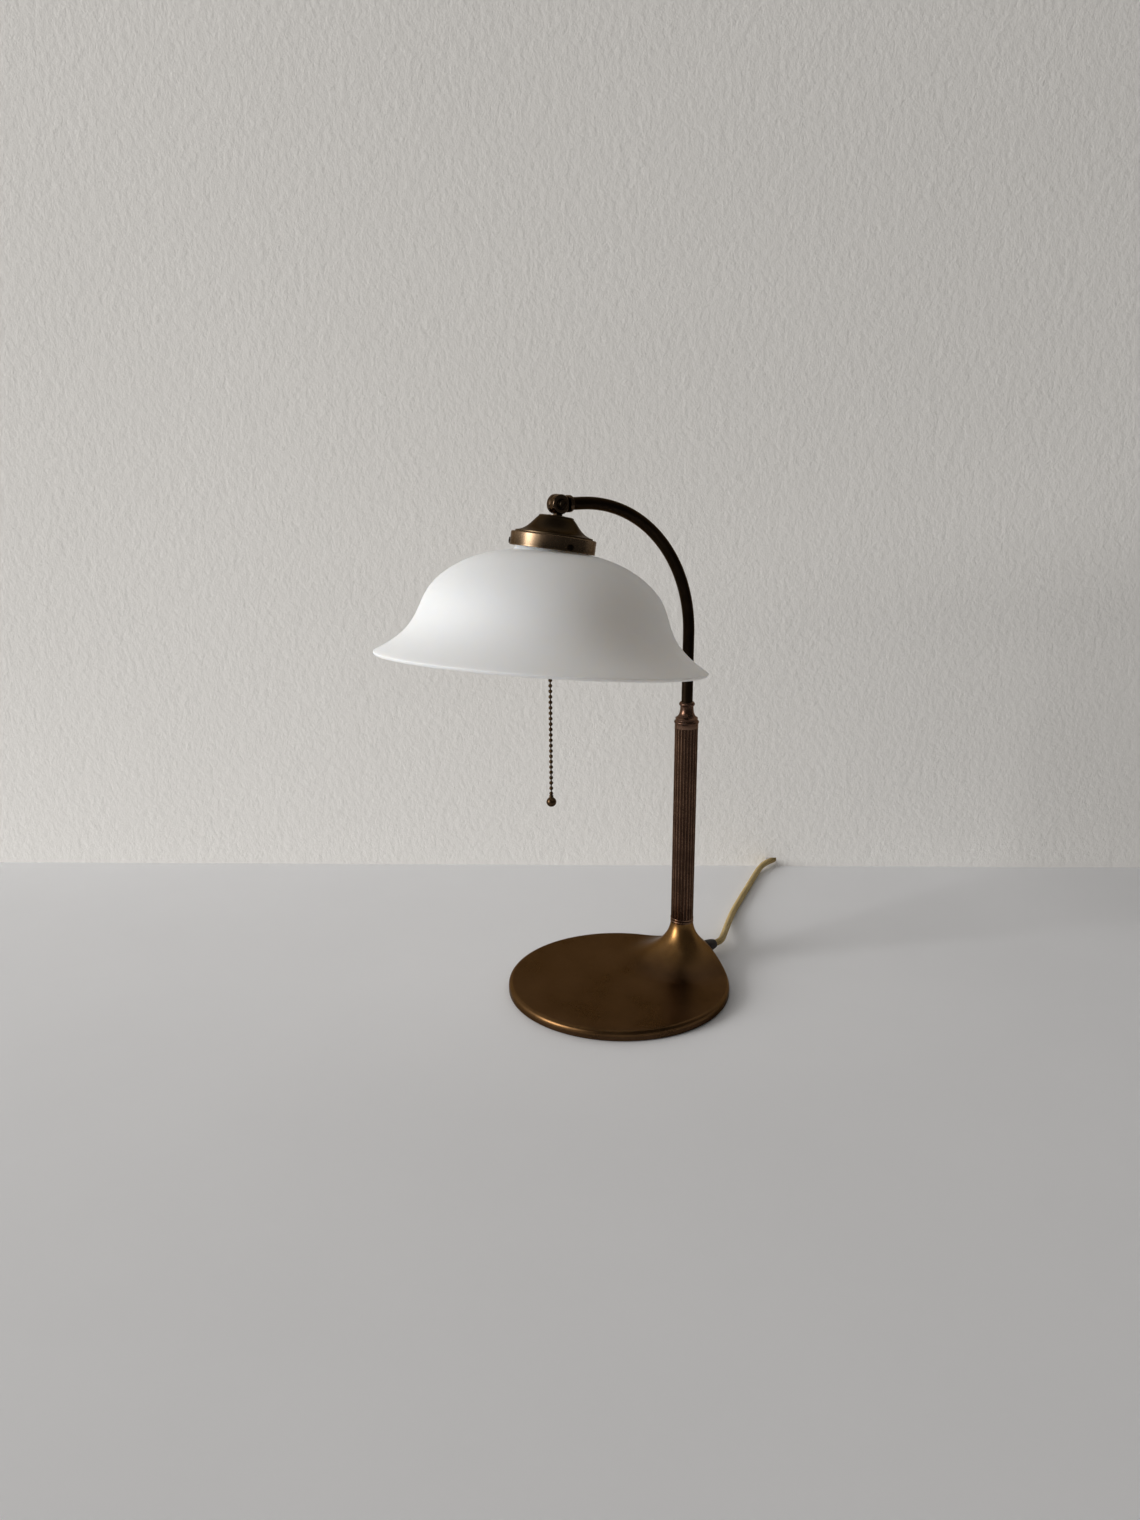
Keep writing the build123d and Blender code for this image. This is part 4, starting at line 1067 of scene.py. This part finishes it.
# Gallery: spun bell and ring
bell_top = -0.0092
bell_ceiling = -0.0104
bell_rim = 0.0307
ring_top = -0.0244
bell_flank = curve_points(((0.0140, -0.0106), (0.0182, -0.0142), (0.0210, -0.0216), (bell_rim, -0.0232)), 28)
bell_inside = curve_points(((0.0295, ring_top), (0.0198, -0.0228), (0.0170, -0.0148), (0.0128, -0.0112)), 28)
bell = lathe("bell", [
    (tube_hole, bell_top),
    (0.0126, bell_top),
    (0.0136, -0.0096),
    *bell_flank,
    (bell_rim, ring_top),
    *bell_inside,
    (0.0122, bell_ceiling),
    (tube_hole, bell_ceiling),
], gallery_place, gallery_brass, sides=128)
settle(bell, "shade", "aged_brass", "gallery_bell")
ring_radius = 0.0338
ring_inner = 0.0328
ring_bottom = -0.0354
ring_floor = ring_top - 0.001
ring_round = 0.0008
ring_wear_reach = 0.0012
ring = lathe("ring", [
    (tube_hole, ring_top),
    (ring_radius - ring_round, ring_top),
    (ring_radius, ring_top - ring_round),
    (ring_radius, ring_bottom + ring_wear_reach),
    (ring_radius, ring_bottom),
    (ring_inner, ring_bottom),
    (ring_inner, ring_floor),
    (tube_hole, ring_floor),
], gallery_place, ring_brass, sides=128)
settle(ring, "shade", "aged_brass", "gallery_ring")

# Glass: lipped neck, dome and flared skirt with a melted edge
glass_wall = 0.003
neck_radius = 0.0268
neck_bottom = -0.0048
inner_neck_drop = 0.0015
lip_radius = 0.0286
lip_top = 0.0033
lip_bottom = 0.0019
easing_passes = 14
glass_steps = 40
dome_outer = [(0.0284, -0.0064), (0.0588, -0.0086), (0.0919, -0.0270), (0.0977, -0.0518)]
skirt_outer = [(0.0977, -0.0518), (0.1027, -0.0643), (0.1048, -0.0758), (0.1330, -0.0920)]


def inner_face(outer):
    """Control points of the inner face: each outer one moved in by the wall, square to the outline there."""
    inner = []
    for index, (radius, height) in enumerate(outer):
        before = outer[max(index - 1, 0)]
        after = outer[min(index + 1, len(outer) - 1)]
        run = hypot(after[0] - before[0], after[1] - before[1])
        out = glass_wall * (before[1] - after[1]) / run
        down = glass_wall * (after[0] - before[0]) / run
        inner.append((radius - out, height - down))
    return inner


def eased(line):
    """Points of an open line, each drawn a little towards its neighbours, so that no crease shows."""
    for _ in range(easing_passes):
        line = [line[0], *(
            ((a[0] + 2 * b[0] + c[0]) / 4, (a[1] + 2 * b[1] + c[1]) / 4)
            for a, b, c in zip(line, line[1:], line[2:])
        ), line[-1]]
    return line


skirt_inner = inner_face(skirt_outer)[::-1]
dome_inner = inner_face(dome_outer)[::-1]
glass_outside = curve_points(dome_outer, glass_steps) + curve_points(skirt_outer, glass_steps)[1:]
glass_inside = curve_points(skirt_inner, glass_steps) + curve_points(dome_inner, glass_steps)[1:]
shade = lathe("opal_shade", [
    (neck_radius - glass_wall, lip_top),
    (lip_radius, lip_top),
    (lip_radius, lip_bottom),
    (neck_radius, lip_bottom),
    (neck_radius, neck_bottom),
    *eased(glass_outside),
    *eased(glass_inside),
    (neck_radius - glass_wall, neck_bottom - inner_neck_drop),
], glass_place, opal, sides=192, rounding=0.0012, sharp_angle=80.0)
settle(shade, "shade", "opal_glass", "glass_shade")

# Bead chain and its ball
bead_radius = 0.0016
bead_pitch = 0.0044
bead_count = 36
link_radius = 0.00055
bead_arc_steps = 8
bead_turn = asin(link_radius / bead_radius)
chain_outline = [(0, bead_radius)]
for number in range(bead_count):
    middle = -number * bead_pitch
    first = 1 if number == 0 else 0
    for step in range(first, bead_arc_steps + 1):
        angle = bead_turn + (pi - 2 * bead_turn) * step / bead_arc_steps
        chain_outline.append((bead_radius * sin(angle), middle + bead_radius * cos(angle)))
chain_end = chain_outline[-1][1]
chain_outline.append((0, chain_end))
chain = lathe_solid("bead_chain", chain_outline, chain_place, chain_brass, 16)
settle(chain, "chain", "chain_brass", "pull_chain")

ball_radius = 0.004
ball_neck = ball_radius * 0.42
ball_neck_height = 0.0016
ball_neck_chamfer = 0.0004
ball_steps = 20
ball_middle = chain_end - ball_neck_height - ball_radius
ball_turn = asin(ball_neck / ball_radius)
ball_outline = [(0, chain_end), (ball_neck * 0.8, chain_end), (ball_neck, chain_end - ball_neck_chamfer)]
for step in range(ball_steps + 1):
    angle = ball_turn + (pi - ball_turn) * step / ball_steps
    ball_outline.append((ball_radius * sin(angle), ball_middle + ball_radius * cos(angle)))
ball = lathe_solid("chain_ball", ball_outline, chain_place, chain_brass, 32)
settle(ball, "chain", "chain_brass", "pull_ball")

# Lamp globe
globe_radius = 0.022
globe_middle = -0.095
globe_top = -0.073
globe_neck = 0.0122
globe_steps = 24
globe_turn = asin(globe_neck / globe_radius)
globe_outline = [(0, globe_top), (globe_neck, globe_top)]
for step in range(globe_steps + 1):
    angle = globe_turn + (pi - globe_turn) * step / globe_steps
    globe_outline.append((globe_radius * sin(angle), globe_middle + globe_radius * cos(angle)))
globe = lathe_solid("globe", globe_outline, gallery_place, frosted, 48)
settle(globe, "shade", "bulb_glass", "bulb_globe")

# Every other piece keeps its CAD shape, with rounded edges
finishes = {
    "foot_weight": (iron, "cast_iron", 0.0004),
    "foot_felt": (felt, "felt", 0.0003),
    "tie_tube": (steel, "steel", 0.0002),
    "tie_washer": (steel, "steel", 0.0002),
    "tie_nut": (steel, "steel", 0.0003),
    "inner_cord": (rubber, "cord_braid", 0.0003),
    "knuckle_arm_half": (knuckle_brass, "dark_brass", 0.0004),
    "knuckle_washer": (dark_brass, "aged_brass", 0.0002),
    "knuckle_screw": (gallery_brass, "aged_brass", 0.0002),
    "knuckle_nut": (dark_brass, "aged_brass", 0.0003),
    "cord_gland": (gland_brown, "dark_plastic", 0.0004),
    "knuckle_shade_half": (knuckle_brass, "dark_brass", 0.0004),
    "gallery_nut": (hidden_brass, "aged_brass", 0.0003),
    "gallery_screws": (dark_brass, "aged_brass", 0.0003),
    "holder_cap": (hidden_brass, "aged_brass", 0.0004),
    "holder_shell": (hidden_brass, "aged_brass", 0.0003),
    "holder_insert": (porcelain, "porcelain", 0.0004),
    "thread_sleeve": (nickel, "nickel", 0.0002),
    "centre_contact": (hidden_brass, "aged_brass", 0.0001),
    "holder_lead": (rubber, "lead_sleeve", 0.0002),
    "bulb_cap": (nickel, "nickel", 0.0002),
    "switch_housing": (bakelite, "dark_plastic", 0.0005),
    "pull_guide": (hidden_brass, "aged_brass", 0.0002),
    "pull_rod": (hidden_brass, "aged_brass", 0.0002),
}
node_bodies = {
    node: body
    for body, nodes in frame["record"]["behaviour"]["bodies"].items()
    for node in nodes
}
for node, (material, slot, round_edges) in finishes.items():
    settle(finer_copy(node, material, round_edges), node_bodies[node], slot, node)

# The switch spring, between the bottom of its housing and the head of the pull rod, is a fixed copy of its CAD
# shape
spring = finer_copy("switch_spring", steel, 0.00005)
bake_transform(spring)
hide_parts("switch_spring")

# Floor and wall
wall_start = Vector((0.0315, 0.3613, 0))
wall_along = Vector((0.797, -0.605, 0)).normalized()
wall_away = Vector((-wall_along.y, wall_along.x, 0))
wall_setback = 0.004


def pale_floor():
    material, tree, shader = new_material("pale_floor")
    place = object_coords(tree)
    grain = noise(tree, place, 6.0, 5.0)
    tint = blend_colour(tree, grain, (0.82, 0.83, 0.855), (0.86, 0.87, 0.895))
    join(tree, tint, shader.inputs["Base Color"])
    shader.inputs["Roughness"].default_value = 0.75
    shader.inputs["Specular IOR Level"].default_value = 0.25
    return material


def pale_wall():
    """Painted plaster; its back doesn't show, so that the lamp is seen from behind too."""
    material, tree, shader = new_material("pale_wall")
    place = object_coords(tree)
    broad = noise(tree, place, 3.0, 3.0)
    plaster = noise(tree, stretched(tree, place, (1.0, 1.0, 0.8)), 130.0, 6.0, 0.7)
    tint = blend_colour(tree, broad, (0.8, 0.79, 0.77), (0.85, 0.84, 0.82))
    join(tree, tint, shader.inputs["Base Color"])
    shader.inputs["Roughness"].default_value = 0.8
    join(tree, bump(tree, plaster, 0.55, 0.002), shader.inputs["Normal"])
    clear = tree.nodes.new("ShaderNodeBsdfTransparent")
    choose = tree.nodes.new("ShaderNodeMixShader")
    side = tree.nodes.new("ShaderNodeNewGeometry").outputs["Backfacing"]
    join(tree, side, choose.inputs["Fac"])
    join(tree, shader.outputs["BSDF"], choose.inputs[1])
    join(tree, clear.outputs["BSDF"], choose.inputs[2])
    join(tree, choose.outputs["Shader"], tree.nodes["Material Output"].inputs["Surface"])
    return material


def staged(name, points, faces, material):
    """A piece of the room round the lamp."""
    mesh = bpy.data.meshes.new(name)
    mesh.from_pydata([tuple(point) for point in points], [], faces)
    mesh.materials.append(material)
    piece = bpy.data.objects.new(name, mesh)
    bpy.context.scene.collection.objects.link(piece)
    return piece


floor_reach = 1.05
staged("floor", [
    (-floor_reach, -floor_reach, 0),
    (floor_reach, -floor_reach, 0),
    (floor_reach, floor_reach, 0),
    (-floor_reach, floor_reach, 0),
], [(0, 1, 2, 3)], pale_floor())

# The wall has a small arch where the cord passes under it
wall_base = wall_start + wall_away * wall_setback
cord_crossing = Vector((0.3335, 0.1371, 0))
arch_middle = (cord_crossing - wall_base).dot(wall_along)
arch_half = 0.0062
arch_high = 0.0104
wall_reach = 2.2
wall_top = 2.4
wall_steps = (-wall_reach, arch_middle - arch_half, arch_middle + arch_half, wall_reach)
wall_points = [
    wall_base + wall_along * step + Vector((0, 0, height))
    for height in (0, arch_high, wall_top)
    for step in wall_steps
]
wall_faces = [(0, 1, 5, 4), (2, 3, 7, 6), (4, 5, 9, 8), (5, 6, 10, 9), (6, 7, 11, 10)]
wall = staged("wall", wall_points, wall_faces, pale_wall())
wall.visible_shadow = False

# Light: a tall soft window on the left, the pale side of the room round it, and an even dim rest
lamp_middle = Vector((-0.02, 0, 0.25))
screen_left = -level_right
towards_camera = -Vector((cos(camera_heading), sin(camera_heading), 0))
light_rise = Vector((0, 0, 2.2))


def soft_light(name, left, near, width, height, power, colour):
    """A rectangle of light that faces the lamp, so far to the left of it and nearer the camera."""
    place = lamp_middle + screen_left * left + towards_camera * near + light_rise
    data = bpy.data.lights.new(name, "AREA")
    data.shape = "RECTANGLE"
    data.size = width
    data.size_y = height
    data.energy = power
    data.color = colour
    lamp = bpy.data.objects.new(name, data)
    lamp.location = place
    lamp.rotation_euler = (lamp_middle - place).to_track_quat("-Z", "Y").to_euler()
    bpy.context.scene.collection.objects.link(lamp)


soft_light("window", left=9.2, near=3.6, width=3.6, height=4.8, power=760.0, colour=(1.0, 0.985, 0.965))
soft_light("pale_side", left=5.5, near=2.2, width=7.0, height=4.6, power=150.0, colour=(1.0, 0.96, 0.9))
world = bpy.data.worlds.new("world")
world.use_nodes = True
backdrop = world.node_tree.nodes["Background"]
backdrop.inputs["Color"].default_value = (1.0, 0.95, 0.9, 1)
backdrop.inputs["Strength"].default_value = 0.1
bpy.context.scene.world = world
bpy.context.scene.view_settings.view_transform = "Standard"
